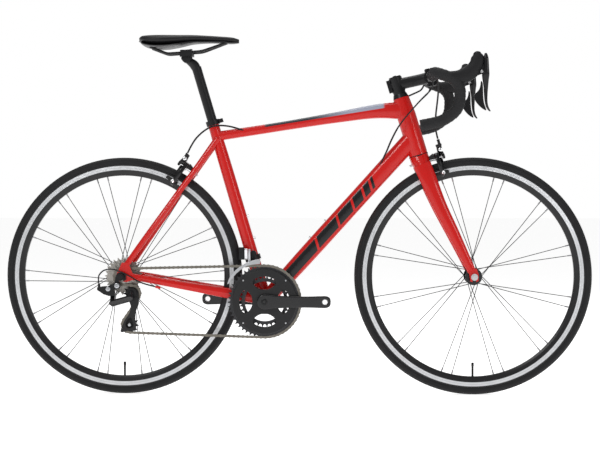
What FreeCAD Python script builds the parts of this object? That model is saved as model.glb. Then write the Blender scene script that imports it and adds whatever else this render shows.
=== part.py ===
"""Road bicycle, drive side at -Y, +X forward, +Z up, origin on the ground under its middle.

Every length is in millimetres.  The driving sizes are in the spreadsheet "sizes"; places that
follow from them are worked out once, below the sheet, and the sub-parts use those.
"""
import FreeCAD, Part
import math
import os
import Sketcher
from FreeCAD import Placement, Rotation, Vector

SIZES = {
    # wheels
    "half_wheelbase": 495.0, "axle_height": 336.0, "tyre_width": 25.0, "rim_width": 20.0,
    "tyre_seat": 316.6, "rim_floor": 309.0, "rim_track_foot": 301.0, "rim_inside": 285.0,
    "axle_radius": 5.0, "skewer_radius": 2.5, "front_hub_width": 100.0, "rear_hub_width": 130.0,
    "spoke_radius": 1.0, "flange_radius": 24.0, "spoke_circle": 20.5,
    # frame
    "bracket_x": -93.0, "bracket_height": 266.0, "bracket_shell_width": 68.0, "shell_radius": 21.0,
    "seat_angle": 73.5, "seat_tube_length": 532.0, "seat_tube_radius": 15.9,
    "head_angle": 73.0, "head_tube_length": 170.0, "fork_length": 372.0, "fork_rake": 47.3,
    "dropout_thickness": 7.0, "hanger_thickness": 6.0,
    # seat
    "post_radius": 13.6, "post_shown": 172.0, "post_hidden": 120.0, "rail_radius": 3.5, "rail_spread": 22.0,
    # steering
    "steerer_radius": 14.3, "crown_race_radius": 19.9, "stem_length": 98.0, "stem_rise": 12.2,
    "bar_radius": 15.9, "bar_grip_radius": 11.9, "tape_radius": 15.6,
    # drive
    "chain_pitch": 12.7, "big_ring_teeth": 50.0, "small_ring_teeth": 34.0, "cog_teeth": 11.0,
    "pulley_teeth": 11.0, "cog_spacing": 3.74, "chain_line": 47.3, "cog_line": 55.5,
    "crank_length": 170.0, "spindle_radius": 12.0, "crank_outside": 73.0, "bolt_circle": 55.0,
    # fits
    "running_gap": 0.05,
}

os.makedirs("parts", exist_ok=True)
doc = FreeCAD.newDocument("road_bicycle")
sheet = doc.addObject("Spreadsheet::Sheet", "sizes")
for row, (alias, value) in enumerate(SIZES.items(), start=1):
    sheet.set(f"A{row}", alias)
    sheet.set(f"B{row}", str(value))
    sheet.setAlias(f"B{row}", alias)
doc.recompute()
sub_parts = []


def size(alias):
    """A driving size, read from the sheet."""
    return float(sheet.get(alias))


# ---------------------------------------------------------------- small geometry helpers

def unit(vector):
    return vector * (1.0 / vector.Length)


def side_view(x, z, y=0.0):
    """A point given by where it is in the side view."""
    return Vector(x, y, z)


def leaning(angle):
    """A direction in the side view, in degrees up from +X."""
    return Vector(math.cos(math.radians(angle)), 0, math.sin(math.radians(angle)))


def mirrored(shape):
    """The same shape on the bicycle's other side."""
    return shape.mirror(Vector(0, 0, 0), Vector(0, 1, 0))


def both_sides(shape):
    return [shape, mirrored(shape)]


def rod(start, end, radius):
    return Part.makeCylinder(radius, (end - start).Length, start, end - start)


def cross_rod(x, z, y_from, y_to, radius):
    """A rod that lies across the bicycle."""
    return rod(Vector(x, y_from, z), Vector(x, y_to, z), radius)


def polygon_face(points):
    return Part.Face(Part.makePolygon(points + [points[0]]))


def side_plate(outline, y_from, y_to):
    """A plate drawn in the side view, from y_from to y_to."""
    face = polygon_face([Vector(x, y_from, z) for x, z in outline])
    return face.extrude(Vector(0, y_to - y_from, 0))


def oval(centre, along, half_depth, half_width, squareness=2.0, corners=16):
    """A closed smooth curve across a tube: half_depth in the side view, half_width across it."""
    along = unit(along)
    across = Vector(0, 1, 0) - along * along.y
    across = unit(across)
    up = along.cross(across)
    points = []
    for step in range(corners):
        turn = 2 * math.pi * step / corners
        cosine, sine = math.cos(turn), math.sin(turn)
        wide = math.copysign(abs(cosine) ** (2 / squareness), cosine) * half_width
        deep = math.copysign(abs(sine) ** (2 / squareness), sine) * half_depth
        points.append(centre + across * wide + up * deep)
    curve = Part.BSplineCurve()
    curve.interpolate(Points=points, PeriodicFlag=True)
    return Part.Wire(curve.toShape())


def evenly(stations, count):
    """The same run of ovals given at evenly spaced places, which keeps the surface fair."""
    rows = [(centre.x, centre.y, centre.z, depth, width) for centre, depth, width in stations]
    runs = [(after[0] - before[0]).Length for before, after in zip(stations, stations[1:])]
    slopes = [[(b - a) / run for a, b in zip(before, after)]
              for before, after, run in zip(rows, rows[1:], runs)]
    tangents = [slopes[0]]
    for near, far, near_run, far_run in zip(slopes, slopes[1:], runs, runs[1:]):
        tangents.append([(a * far_run + b * near_run) / (near_run + far_run) for a, b in zip(near, far)])
    tangents.append(slopes[-1])
    spread = []
    for step in range(count):
        distance, piece = sum(runs) * step / (count - 1), 0
        while distance > runs[piece] and piece < len(runs) - 1:
            distance -= runs[piece]
            piece += 1
        run = runs[piece]
        t = min(distance / run, 1.0)
        weights = (2 * t ** 3 - 3 * t ** 2 + 1, 3 * t ** 2 - 2 * t ** 3, (t ** 3 - 2 * t ** 2 + t) * run,
                   (t ** 3 - t ** 2) * run)
        known = zip(rows[piece], rows[piece + 1], tangents[piece], tangents[piece + 1])
        x, y, z, depth, width = [sum(weight * value for weight, value in zip(weights, values))
                                 for values in known]
        spread.append((Vector(x, y, z), depth, width))
    return spread


def tube(stations, squareness=2.0, count=None):
    """A closed tube through ovals, each (centre, half_depth, half_width)."""
    places = evenly(stations, count or 2 * len(stations) + 1)
    wires = []
    for index, (centre, half_depth, half_width) in enumerate(places):
        before = places[max(index - 1, 0)][0]
        after = places[min(index + 1, len(places) - 1)][0]
        wires.append(oval(centre, after - before, half_depth, half_width, squareness))
    return Part.makeLoft(wires, True, False)


def fused(shapes):
    return shapes[0].multiFuse(shapes[1:])


def bent_path(points, share=0.45):
    """Straight runs joined by tangent arcs that use this share of the shorter run; and the radii."""
    edges, radii, start = [], [], points[0]
    for before, corner, after in zip(points, points[1:], points[2:]):
        incoming, outgoing = corner - before, after - corner
        turn = incoming.getAngle(outgoing)
        setback = share * min(incoming.Length, outgoing.Length)
        radius = setback / math.tan(turn / 2)
        arc_start = corner - unit(incoming) * setback
        arc_end = corner + unit(outgoing) * setback
        inward = unit(unit(outgoing) - unit(incoming))
        arc_middle = corner + inward * (radius / math.cos(turn / 2) - radius)
        edges.append(Part.makeLine(start, arc_start))
        edges.append(Part.Arc(arc_start, arc_middle, arc_end).toShape())
        start = arc_end
        radii.append(radius)
    edges.append(Part.makeLine(start, points[-1]))
    return Part.Wire(edges), radii


def round_sweep(points, radius, share=0.45):
    """A round tube along a bent path, checked against its section times its length."""
    path, _ = bent_path(points, share)
    section = Part.Wire(Part.makeCircle(radius, points[0], points[1] - points[0]))
    solid = path.makePipeShell([section], True, False)
    expected = math.pi * radius ** 2 * path.Length
    if abs(solid.Volume - expected) > 0.01 * expected:
        raise RuntimeError("a swept tube has the wrong volume")
    return solid


class Local:
    """A place and its own x, y and z directions, to build a piece in before it is set down."""

    def __init__(self, origin, x_axis, y_axis):
        self.x, self.y = unit(x_axis), unit(y_axis)
        self.z = self.x.cross(self.y)
        self.origin = origin
        self.placement = Placement(origin, Rotation(self.x, self.y, self.z, "XYZ"))

    def point(self, x, y, z):
        return self.origin + self.x * x + self.y * y + self.z * z

    def box(self, x_range, y_range, z_range):
        corner = Vector(x_range[0], y_range[0], z_range[0])
        wide, deep, high = (ends[1] - ends[0] for ends in (x_range, y_range, z_range))
        shape = Part.makeBox(wide, deep, high, corner)
        return self.put(shape)

    def rod(self, start, end, radius):
        return self.put(rod(Vector(*start), Vector(*end), radius))

    def plate(self, outline, z_from, z_to):
        """A plate drawn in this place's own x and y, from z_from to z_to."""
        face = polygon_face([Vector(x, y, z_from) for x, y in outline])
        return self.put(face.extrude(Vector(0, 0, z_to - z_from)))

    def slab(self, outline, x_from, x_to):
        """A plate drawn in this place's own y and z, from x_from to x_to."""
        face = polygon_face([Vector(x_from, y, z) for y, z in outline])
        return self.put(face.extrude(Vector(x_to - x_from, 0, 0)))

    def put(self, shape):
        shape.Placement = self.placement.multiply(shape.Placement)
        return shape


# ---------------------------------------------------------------- document objects

def add_shape(label, shapes):
    """A sub-part whose shape is worked out here, as one solid or as a group of solids."""
    solids = []
    for shape in shapes:
        solids.extend(shape.Solids)
    feature = doc.addObject("Part::Feature", label)
    feature.Label = label
    feature.Shape = solids[0] if len(solids) == 1 else Part.makeCompound(solids)
    sub_parts.append(feature)
    return feature


def origin_feature(body, role):
    return next(feature for feature in body.Origin.OriginFeatures if feature.Role == role)


def draw_polygon(sketch, points):
    """A closed polygon whose corners are held by dimensions; a text coordinate is a formula."""
    values = []
    for point in points:
        values.append([float(sketch.evalExpression(c)) if isinstance(c, str) else float(c) for c in point])
    count = len(values)
    lines = []
    for index in range(count):
        start, end = values[index], values[(index + 1) % count]
        lines.append(Part.LineSegment(Vector(start[0], start[1], 0), Vector(end[0], end[1], 0)))
    sketch.addGeometry(lines, False)
    for index in range(count):
        sketch.addConstraint(Sketcher.Constraint("Coincident", index, 2, (index + 1) % count, 1))
    for index, point in enumerate(points):
        for kind, coordinate, value in zip(("DistanceX", "DistanceY"), point, values[index]):
            constraint = sketch.addConstraint(Sketcher.Constraint(kind, -1, 1, index, 1, value))
            if isinstance(coordinate, str):
                sketch.setExpression(f"Constraints[{constraint}]", coordinate)


def turned_body(label, outline, place, role="YZ_Plane", axis="Y_Axis", tilt=None):
    """A PartDesign body turned about its own axis: outline corners are (along, radius) or (radius, along)."""
    body = doc.addObject("PartDesign::Body", label)
    body.Label = label
    sketch = body.newObject("Sketcher::SketchObject", label + "_outline")
    sketch.AttachmentSupport = [(origin_feature(body, role), "")]
    sketch.MapMode = "FlatFace"
    draw_polygon(sketch, outline)
    turn = body.newObject("PartDesign::Revolution", label + "_turned")
    turn.Profile = sketch
    turn.ReferenceAxis = (origin_feature(body, axis), [""])
    turn.Angle = 360
    if tilt is not None:
        body.Placement = Placement(Vector(0, 0, 0), Rotation(Vector(0, 1, 0), tilt))
    for letter, formula in zip("xyz", place):
        body.setExpression(f"Placement.Base.{letter}", formula)
    sub_parts.append(body)
    return body


# ---------------------------------------------------------------- places that follow from the sizes

rear_axle = side_view(-size("half_wheelbase"), size("axle_height"))
front_axle = side_view(size("half_wheelbase"), size("axle_height"))
bracket = side_view(size("bracket_x"), size("bracket_height"))
seat_up = leaning(180 - size("seat_angle"))
seat_top = bracket + seat_up * size("seat_tube_length")
steer_up = leaning(180 - size("head_angle"))
steer_ahead = leaning(90 - size("head_angle"))
head_bottom = front_axle + steer_up * size("fork_length") - steer_ahead * size("fork_rake")
head_top = head_bottom + steer_up * size("head_tube_length")
steering = Local(head_bottom, steer_ahead, Vector(0, 1, 0))      # x ahead, y left, z up the steerer
gap = size("running_gap")

REAR_PLACE = ("-sizes.half_wheelbase", "0", "sizes.axle_height")
FRONT_PLACE = ("sizes.half_wheelbase", "0", "sizes.axle_height")


# ---------------------------------------------------------------- wheels

def make_tyre(label, axle):
    """A tyre's casing: round outside, open towards the rim, its beads between the rim's hooks."""
    half = size("tyre_width") / 2
    outside = size("axle_height")
    middle = outside - half
    seat = size("tyre_seat")
    shoulder = math.sqrt(half ** 2 - (middle - seat) ** 2)
    bead_out, bead_in, inner = 8.1, 6.0, half - 2.1
    throat = middle - math.sqrt(inner ** 2 - bead_in ** 2)
    floor = size("rim_floor") + 0.1

    def corner(y, radius):
        return Vector(0, y, radius)

    edges = [
        Part.Arc(corner(shoulder, seat), corner(0, outside), corner(-shoulder, seat)).toShape(),
        Part.makeLine(corner(-shoulder, seat), corner(-bead_out, seat)),
        Part.makeLine(corner(-bead_out, seat), corner(-bead_out, floor)),
        Part.makeLine(corner(-bead_out, floor), corner(-bead_in, floor)),
        Part.makeLine(corner(-bead_in, floor), corner(-bead_in, throat)),
        Part.Arc(corner(-bead_in, throat), corner(0, middle + inner), corner(bead_in, throat)).toShape(),
        Part.makeLine(corner(bead_in, throat), corner(bead_in, floor)),
        Part.makeLine(corner(bead_in, floor), corner(bead_out, floor)),
        Part.makeLine(corner(bead_out, floor), corner(bead_out, seat)),
        Part.makeLine(corner(bead_out, seat), corner(shoulder, seat)),
    ]
    section = Part.Face(Part.Wire(edges))
    casing = section.revolve(Vector(0, 0, 0), Vector(0, 1, 0), 360)
    casing.translate(axle)
    add_shape(label, [casing])


def make_inner_tube(label, axle):
    """The air tube, with the valve that comes out through the rim at the bottom."""
    middle = size("axle_height") - size("tyre_width") / 2
    outer = Part.makeTorus(middle, 9.2, axle, Vector(0, 1, 0))
    hollow = Part.makeTorus(middle, 8.4, axle, Vector(0, 1, 0))
    stem = rod(axle - Vector(0, 0, middle - 8.8), axle - Vector(0, 0, 256), 3.0)
    cap = rod(axle - Vector(0, 0, 256), axle - Vector(0, 0, 246), 3.6)
    add_shape(label, [fused([outer, stem]).cut(hollow), cap])


def make_rim(label, axle):
    """A deep alloy rim: hooks and a floor for the tyre, flat brake tracks, and a hollow inside."""
    half, hook = size("rim_width") / 2, 8.2
    seat, floor = size("tyre_seat") - 0.1, size("rim_floor")
    foot, inside = size("rim_track_foot"), size("rim_inside")
    outline = [(-half, seat), (-hook, seat), (-hook, floor), (hook, floor), (hook, seat), (half, seat),
               (half, foot), (7.4, 290.0), (4.4, inside), (-4.4, inside), (-7.4, 290.0), (-half, foot)]
    hollow = [(-8.2, 306.8), (8.2, 306.8), (8.2, 301.4), (5.6, 291.0), (3.6, 287.2),
              (-3.6, 287.2), (-5.6, 291.0), (-8.2, 301.4)]
    rings = []
    for corners in (outline, hollow):
        face = polygon_face([Vector(0, y, radius) for y, radius in corners])
        rings.append(face.revolve(Vector(0, 0, 0), Vector(0, 1, 0), 360))
    valve_hole = rod(Vector(0, 0, -250), Vector(0, 0, -318), 3.3)
    rim = rings[0].cut(rings[1]).cut(valve_hole)
    rim.translate(axle)
    add_shape(label, [rim])


def spoke_ends(pairs, first_angle, left_flange, right_flange):
    """Where each spoke starts in a flange and ends in the rim, as (flange y, hole angle, rim angle)."""
    ends = []
    lean, apart = 52.0, 3.0
    for pair in range(pairs):
        middle = first_angle + pair * 360.0 / pairs
        lean_way = 1 if pair % 2 == 0 else -1
        for flange, offset in ((left_flange, -apart), (right_flange, apart)):
            ends.append((flange, middle + offset + lean_way * lean, middle + offset))
    return ends


def make_spokes(label, axle, ends):
    """Paired spokes, each with its nipple seated in the rim's inner wall."""
    solids = []
    for flange, hole_angle, rim_angle in ends:
        start = axle + leaning(hole_angle) * size("spoke_circle") + Vector(0, flange, 0)
        end = axle + leaning(rim_angle) * (size("rim_inside") + 1.0)
        end.y = math.copysign(1.2, flange)
        back = unit(start - end)
        wire = rod(start, end + back * 4.0, size("spoke_radius"))
        nipple = rod(end + back * 13.0, end, 2.0)
        solids.append(wire.fuse(nipple))
    add_shape(label, solids)


def make_hub(label, place, left_flange, right_flange, left_end, right_end):
    """A hub shell between two flanges, with a running bore for the axle."""
    bore = "sizes.axle_radius + sizes.running_gap"
    wall, flange, thick = 9.5, "sizes.flange_radius", 1.6
    outline = [(right_end, bore), (left_end, bore), (left_end, 13.0), (left_flange + thick, 14.0),
               (left_flange + thick, flange), (left_flange - thick, flange), (left_flange - thick, 14.0),
               (left_flange - 9, wall), (right_flange + 9, wall), (right_flange + thick, 14.0),
               (right_flange + thick, flange), (right_flange - thick, flange), (right_flange - thick, 14.0),
               (right_end, 13.0)]
    return turned_body(label, outline, place)


def make_wheel(prefix, axle, place, spokes, flanges, ends):
    make_tyre(prefix + "_tyre", axle)
    make_inner_tube(prefix + "_inner_tube", axle)
    make_rim(prefix + "_rim", axle)
    make_spokes(prefix + "_spokes", axle, spokes)
    make_hub(prefix + "_hub", place, *flanges, *ends)


front_flanges = (31.0, -31.0)
rear_flanges = (34.0, -13.5)
front_ends, rear_ends = spoke_ends(12, 15.0, *front_flanges), spoke_ends(14, 77.14, *rear_flanges)
make_wheel("front", front_axle, FRONT_PLACE, front_ends, front_flanges, (37.0, -37.0))
make_wheel("rear", rear_axle, REAR_PLACE, rear_ends, rear_flanges, (44.0, -16.0))


def turned(outline, place):
    """A solid turned about an axis across the bicycle: outline corners are (y, radius)."""
    face = polygon_face([Vector(0, y, radius) for y, radius in outline])
    solid = face.revolve(Vector(0, 0, 0), Vector(0, 1, 0), 360)
    solid.translate(place)
    return solid


def make_axle(label, axle, left_cone, right_cone, half_width, nut_face, lever_face):
    """A hollow axle with its cones, and the quick-release skewer with its nut, collar and cam pin."""
    radius, skewer, cone = size("axle_radius"), size("skewer_radius"), 8.5
    hollow, stub, pin_y = skewer + gap, 5.5, lever_face + 13.0
    outline = [(-half_width - stub, hollow), (half_width + stub, hollow), (half_width + stub, radius),
               (half_width, radius), (half_width, cone), (left_cone, cone), (left_cone, radius),
               (right_cone, radius), (right_cone, cone), (-half_width, cone), (-half_width, radius),
               (-half_width - stub, radius)]
    shaft = cross_rod(axle.x, axle.z, nut_face - 12, pin_y, skewer)
    nut = cross_rod(axle.x, axle.z, nut_face - 10, nut_face, 9.5)
    nose = cross_rod(axle.x, axle.z, nut_face - 13, nut_face - 10, 6.0)
    collar = cross_rod(axle.x, axle.z, lever_face, lever_face + 5.5, 9.0)
    pin_place = axle + Vector(0, pin_y, 0)
    pin = rod(pin_place - Vector(9.5, 0, 0), pin_place + Vector(9.5, 0, 0), 3.0)
    add_shape(label, [turned(outline, axle), fused([shaft, nut, nose, collar, pin])])
    return pin_place


def make_lever(label, pin_place, reach):
    """A quick-release lever: two ears round the cam pin and a curved handle along reach."""
    place = Local(pin_place, Vector(1, 0, 0), Vector(0, 1, 0))
    along = 1 if reach > 0 else -1
    ears = []
    for side in (-1, 1):
        ears.append(rod(pin_place + Vector(side * 3.2, 0, 0), pin_place + Vector(side * 9.2, 0, 0), 6.3))
    handle = place.plate([(-9.2, -3.0), (-9.2, 3.5), (9.2, 3.5), (9.2, -3.0)], along * 7.0, along * 14.0)
    grip = Local(pin_place, Vector(1, 0, 0), Vector(0, 0, 1))
    blade = grip.plate([(-9.2, along * 13.0), (9.2, along * 13.0), (7.5, reach - along * 6), (4.0, reach),
                        (-4.0, reach), (-7.5, reach - along * 6)], -3.5, 2.5)
    necks = []
    for side in (-1, 1):
        low, high = sorted((side * 3.2, side * 9.2))
        bottom, top = sorted((0.0, along * 14.0))
        necks.append(place.box((low, high), (-3.0, 3.5), (bottom, top)))
    lever = fused(ears + necks + [handle, blade])
    bore = rod(pin_place - Vector(12, 0, 0), pin_place + Vector(12, 0, 0), 3.0 + gap)
    add_shape(label, [lever.cut(bore)])


front_half, rear_half = size("front_hub_width") / 2, size("rear_hub_width") / 2
fork_tip_outside = front_half + 6.0
rear_tip_outside = rear_half + size("dropout_thickness")
front_pin = make_axle("front_axle", front_axle, 37.3, -37.3, front_half, -fork_tip_outside, fork_tip_outside)
rear_pin = make_axle("rear_axle", rear_axle, 44.3, -58.0, rear_half,
                     -rear_tip_outside - size("hanger_thickness"), rear_tip_outside)
make_lever("front_qr_lever", front_pin, 52.0)
make_lever("rear_qr_lever", rear_pin, -52.0)


# ---------------------------------------------------------------- sprockets

def pitch_radius(teeth):
    return size("chain_pitch") / (2 * math.sin(math.pi / teeth))


ROLLER_POCKET, TOOTH_RISE, TIP_HALF_WIDTH = 4.05, 3.1, 0.8


def sprocket(teeth, pocket_angle, centre, y_middle, thickness, bore):
    """A toothed plate, with a roller pocket at pocket_angle (radians up from +X)."""
    pitch = pitch_radius(teeth)
    step = 2 * math.pi / teeth
    lip = math.radians(100)
    tip = pitch + TOOTH_RISE
    edges, last = [], None
    y_side = y_middle - thickness / 2

    def at(radius, angle):
        return Vector(centre.x + radius * math.cos(angle), y_side, centre.z + radius * math.sin(angle))

    def in_pocket(angle, swing):
        middle = at(pitch, angle)
        outward = Vector(math.cos(angle), 0, math.sin(angle))
        onward = Vector(-math.sin(angle), 0, math.cos(angle))
        return middle + (outward * math.cos(swing) + onward * math.sin(swing)) * ROLLER_POCKET

    for tooth in range(int(teeth)):
        angle = pocket_angle + tooth * step
        near, far = in_pocket(angle, -lip), in_pocket(angle, lip)
        bottom = in_pocket(angle, math.pi)
        tip_near = at(tip, angle + step / 2 - TIP_HALF_WIDTH / tip)
        tip_far = at(tip, angle + step / 2 + TIP_HALF_WIDTH / tip)
        following = in_pocket(angle + step, -lip)
        edges.append(Part.Arc(near, bottom, far).toShape())
        edges.extend([Part.makeLine(far, tip_near), Part.makeLine(tip_near, tip_far)])
        edges.append(Part.makeLine(tip_far, following))
    plate = Part.Face(Part.Wire(Part.__sortEdges__(edges))).extrude(Vector(0, thickness, 0))
    return plate.cut(cross_rod(centre.x, centre.z, y_side - 1, y_side + thickness + 1, bore))


# ---------------------------------------------------------------- chain line

guide = side_view(-466.0, 288.5)
CAGE_LENGTH = 88.0


class Wheel:
    """A sprocket that the chain runs on: where it is, its teeth, and the way the chain goes round."""

    def __init__(self, centre, teeth, clockwise):
        self.centre, self.teeth = centre, teeth
        self.side = 1 if clockwise else -1
        self.radius = pitch_radius(teeth)


def run_angle(first, second):
    """The direction of the straight run from one wheel to the next."""
    across = second.centre - first.centre
    offset = first.side * first.radius - second.side * second.radius
    return math.atan2(across.z, across.x) - math.asin(offset / across.Length)


def touching(wheel, angle):
    """Where a run of this direction touches a wheel, as an angle round the wheel."""
    return angle + wheel.side * math.pi / 2


def chain_course(tension_angle):
    """The chain's runs and arcs, each with its length counted in pitches."""
    tension = guide + leaning(tension_angle) * CAGE_LENGTH
    wheels = [Wheel(bracket, size("big_ring_teeth"), True), Wheel(tension, size("pulley_teeth"), True),
              Wheel(guide, size("pulley_teeth"), False), Wheel(rear_axle, size("cog_teeth"), True)]
    count = len(wheels)
    runs = [run_angle(wheels[index], wheels[(index + 1) % count]) for index in range(count)]
    course, total = [], 0.0
    for index, wheel in enumerate(wheels):
        arrive, leave = touching(wheel, runs[index - 1]), touching(wheel, runs[index])
        sweep = (wheel.side * (arrive - leave)) % (2 * math.pi)
        pitches = sweep / (2 * math.pi / wheel.teeth)
        course.append(("arc", wheel, arrive, total, pitches))
        total += pitches
        following = wheels[(index + 1) % count]
        start = wheel.centre + leaning(math.degrees(leave)) * wheel.radius
        end = following.centre + leaning(math.degrees(touching(following, runs[index]))) * following.radius
        pitches = (end - start).Length / size("chain_pitch")
        course.append(("run", (wheel, following), (start, end), total, pitches))
        total += pitches
    return tension, course, total


def settle_tension():
    """Swing the cage until the chain is a whole, even number of links long."""
    low, high = -105.0, -80.0
    target = 2 * round(chain_course(-93.0)[2] / 2)
    rising = chain_course(high)[2] > chain_course(low)[2]
    for _ in range(50):
        middle = (low + high) / 2
        if (chain_course(middle)[2] < target) == rising:
            low = middle
        else:
            high = middle
    return chain_course((low + high) / 2) + (target,)


tension, chain_parts, _, link_count = settle_tension()
wheel_line = {"ring": -size("chain_line"), "cog": -size("cog_line")}


def line_of(wheel):
    """How far to the drive side the chain is where it goes round a wheel."""
    return wheel_line["ring"] if wheel.teeth == size("big_ring_teeth") else wheel_line["cog"]


STRAIGHT_LEAD = 3.0                                # pitches in line with a wheel before the chain slants


def roller_place(index):
    """The place of one chain roller."""
    for kind, wheel, where, start, pitches in chain_parts:
        if not start <= index < start + pitches:
            continue
        if kind == "arc":
            turn = (index - start) * 2 * math.pi / wheel.teeth
            place = wheel.centre + leaning(math.degrees(where - wheel.side * turn)) * wheel.radius
            return Vector(place.x, line_of(wheel), place.z)
        share = (index - start) / pitches
        place = where[0] + (where[1] - where[0]) * share
        sideways = min(max((index - start - STRAIGHT_LEAD) / (pitches - 2 * STRAIGHT_LEAD), 0.0), 1.0)
        y = line_of(wheel[0]) + (line_of(wheel[1]) - line_of(wheel[0])) * sideways
        return Vector(place.x, y, place.z)
    raise ValueError("roller is off the chain")


def pocket_angle(centre, teeth):
    """The angle of a roller on a wheel, so that its teeth stand between the rollers."""
    for kind, wheel, where, start, _ in chain_parts:
        if kind == "arc" and wheel.centre == centre and wheel.teeth == teeth:
            return where - wheel.side * (math.ceil(start) - start) * 2 * math.pi / teeth
    return 0.0


def link_outline(half_height, waist):
    """A link plate in its own x and z, with round ends and a narrower waist."""
    pitch = size("chain_pitch")
    left, right = Vector(0, 0, 0), Vector(pitch, 0, 0)
    top = [Vector(0, 0, half_height), Vector(pitch / 2, 0, waist), Vector(pitch, 0, half_height)]
    bottom = [Vector(point.x, 0, -point.z) for point in reversed(top)]
    edges = [
        Part.Arc(bottom[2], left - Vector(half_height, 0, 0), top[0]).toShape(),
        Part.Arc(top[0], top[1], top[2]).toShape(),
        Part.Arc(top[2], right + Vector(half_height, 0, 0), bottom[0]).toShape(),
        Part.Arc(bottom[0], bottom[1], bottom[2]).toShape(),
    ]
    return Part.Face(Part.Wire(edges))


def make_link(outer):
    """An outer link with its pins, or an inner link with its rollers, along x from roller to roller."""
    pitch, pin = size("chain_pitch"), 1.75
    near, far = (2.02, 2.8) if outer else (1.15, 1.96)
    face = link_outline(4.1, 3.1)
    plates = []
    for side in (1, -1):
        plate = face.copy()
        plate.translate(Vector(0, side * near, 0))
        plates.append(plate.extrude(Vector(0, side * (far - near), 0)))
    bosses = []
    for x in (0.0, pitch):
        if outer:
            bosses.append(cross_rod(x, 0, -2.86, 2.86, pin))
        else:
            bosses.append(cross_rod(x, 0, -near, near, 3.85))
    link = fused(plates + bosses)
    if not outer:
        for x in (0.0, pitch):
            link = link.cut(cross_rod(x, 0, -4, 4, pin + gap))
    return link


def make_chain():
    rollers = [roller_place(index) for index in range(link_count)]
    templates = {True: make_link(True), False: make_link(False)}
    links = []
    for index, start in enumerate(rollers):
        along = unit(rollers[(index + 1) % link_count] - start)
        across = Vector(0, 1, 0) - along * along.y
        link = templates[index % 2 == 0].copy()
        links.append(Local(start, along, across).put(link))
    add_shape("chain", links)


make_chain()

COGS = (11, 12, 13, 14, 15, 16, 17, 19, 21, 23, 25)
FREEHUB_RADIUS = 17.0


def make_cassette():
    """Eleven cogs with their spacers, a lockring, and the freehub body they slide onto."""
    stack, spacing, cog_thick = [], size("cog_spacing"), 1.6
    for index, teeth in enumerate(COGS):
        y = -size("cog_line") + index * spacing
        angle = pocket_angle(rear_axle, size("cog_teeth")) if index == 0 else 0.1 * index
        stack.append(sprocket(teeth, angle, rear_axle, y, cog_thick, FREEHUB_RADIUS))
        if index:
            spacer = [(y - spacing + cog_thick / 2, FREEHUB_RADIUS), (y - cog_thick / 2, FREEHUB_RADIUS),
                      (y - cog_thick / 2, 18.3), (y - spacing + cog_thick / 2, 18.3)]
            stack.append(turned(spacer, rear_axle))
    outer_face = -size("cog_line") - cog_thick / 2
    inner_face = -size("cog_line") + (len(COGS) - 1) * spacing + cog_thick / 2
    bore = size("axle_radius") + gap
    lockring = turned([(outer_face, 10.0), (outer_face, 17.6), (outer_face - 1.2, 17.2),
                       (outer_face - 1.2, 10.0)], rear_axle)
    freehub = turned([(outer_face, bore), (inner_face + 0.8, bore), (inner_face + 0.8, FREEHUB_RADIUS),
                      (outer_face, FREEHUB_RADIUS)], rear_axle)
    add_shape("cassette", [fused(stack), lockring, freehub])


make_cassette()
for pulley, place in (("guide_pulley", guide), ("tension_pulley", tension)):
    pulley_teeth = size("pulley_teeth")
    wheel = sprocket(pulley_teeth, pocket_angle(place, pulley_teeth), place, -size("cog_line"), 2.0, 4.0 + gap)
    add_shape(pulley, [wheel])


# ---------------------------------------------------------------- frame

def along_seat(distance):
    """A point on the seat tube's axis, this far up from the bottom bracket."""
    return bracket + seat_up * distance


def top_tube():
    return tube([(side_view(-230, 732.5), 13.5, 14.0), (side_view(-120, 749), 13.0, 15.0),
                 (side_view(0, 768), 13.5, 15.5), (side_view(120, 787.5), 16.0, 17.0),
                 (side_view(225, 803), 20.5, 20.0), (side_view(300, 806), 26.0, 21.5)], 2.5)


def down_tube():
    start, end = bracket, side_view(322, 724)
    path = end - start
    return tube([(start + path * share, depth, width)
                 for share, depth, width in ((0.0, 22.0, 21.0), (0.25, 24.7, 22.0), (0.7, 25.0, 22.0),
                                             (1.0, 26.0, 23.0))], 2.6)


def seat_tube():
    radius = size("seat_tube_radius")
    return tube([(along_seat(0), 19.0, 18.0), (along_seat(150), 18.0, 17.5), (along_seat(430), 17.0, 16.5),
                 (along_seat(505), radius, radius), (along_seat(size("seat_tube_length")), radius, radius)])


def head_tube():
    lower, upper, length = 27.0, 22.5, size("head_tube_length")
    profile = [(0, 0), (lower - 0.5, 0), (lower, 12), (lower, 120), (upper + 1.0, 158), (upper, length),
               (0, length)]
    face = polygon_face([Vector(radius, 0, along) for radius, along in profile])
    return steering.put(face.revolve(Vector(0, 0, 0), Vector(0, 0, 1), 360))


def chain_stay():
    """The left chain stay; the right one mirrors it."""
    return tube([(side_view(-100, 270, 24), 15, 9), (side_view(-180, 284.9, 28), 15, 9),
                 (side_view(-300, 306.7, 45), 12, 9), (side_view(-420, 328.6, 61), 10, 8),
                 (side_view(-478, 338.5, 68), 9, 4.5)])


def seat_stay():
    """The left seat stay; the right one mirrors it."""
    return tube([(side_view(-228, 725, 12), 10, 8), (side_view(-262, 677, 19), 8.7, 7.5),
                 (side_view(-350, 554, 39), 8.2, 7), (side_view(-440, 428, 60), 8, 6.5),
                 (side_view(-486, 362, 68), 8, 4)])


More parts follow.
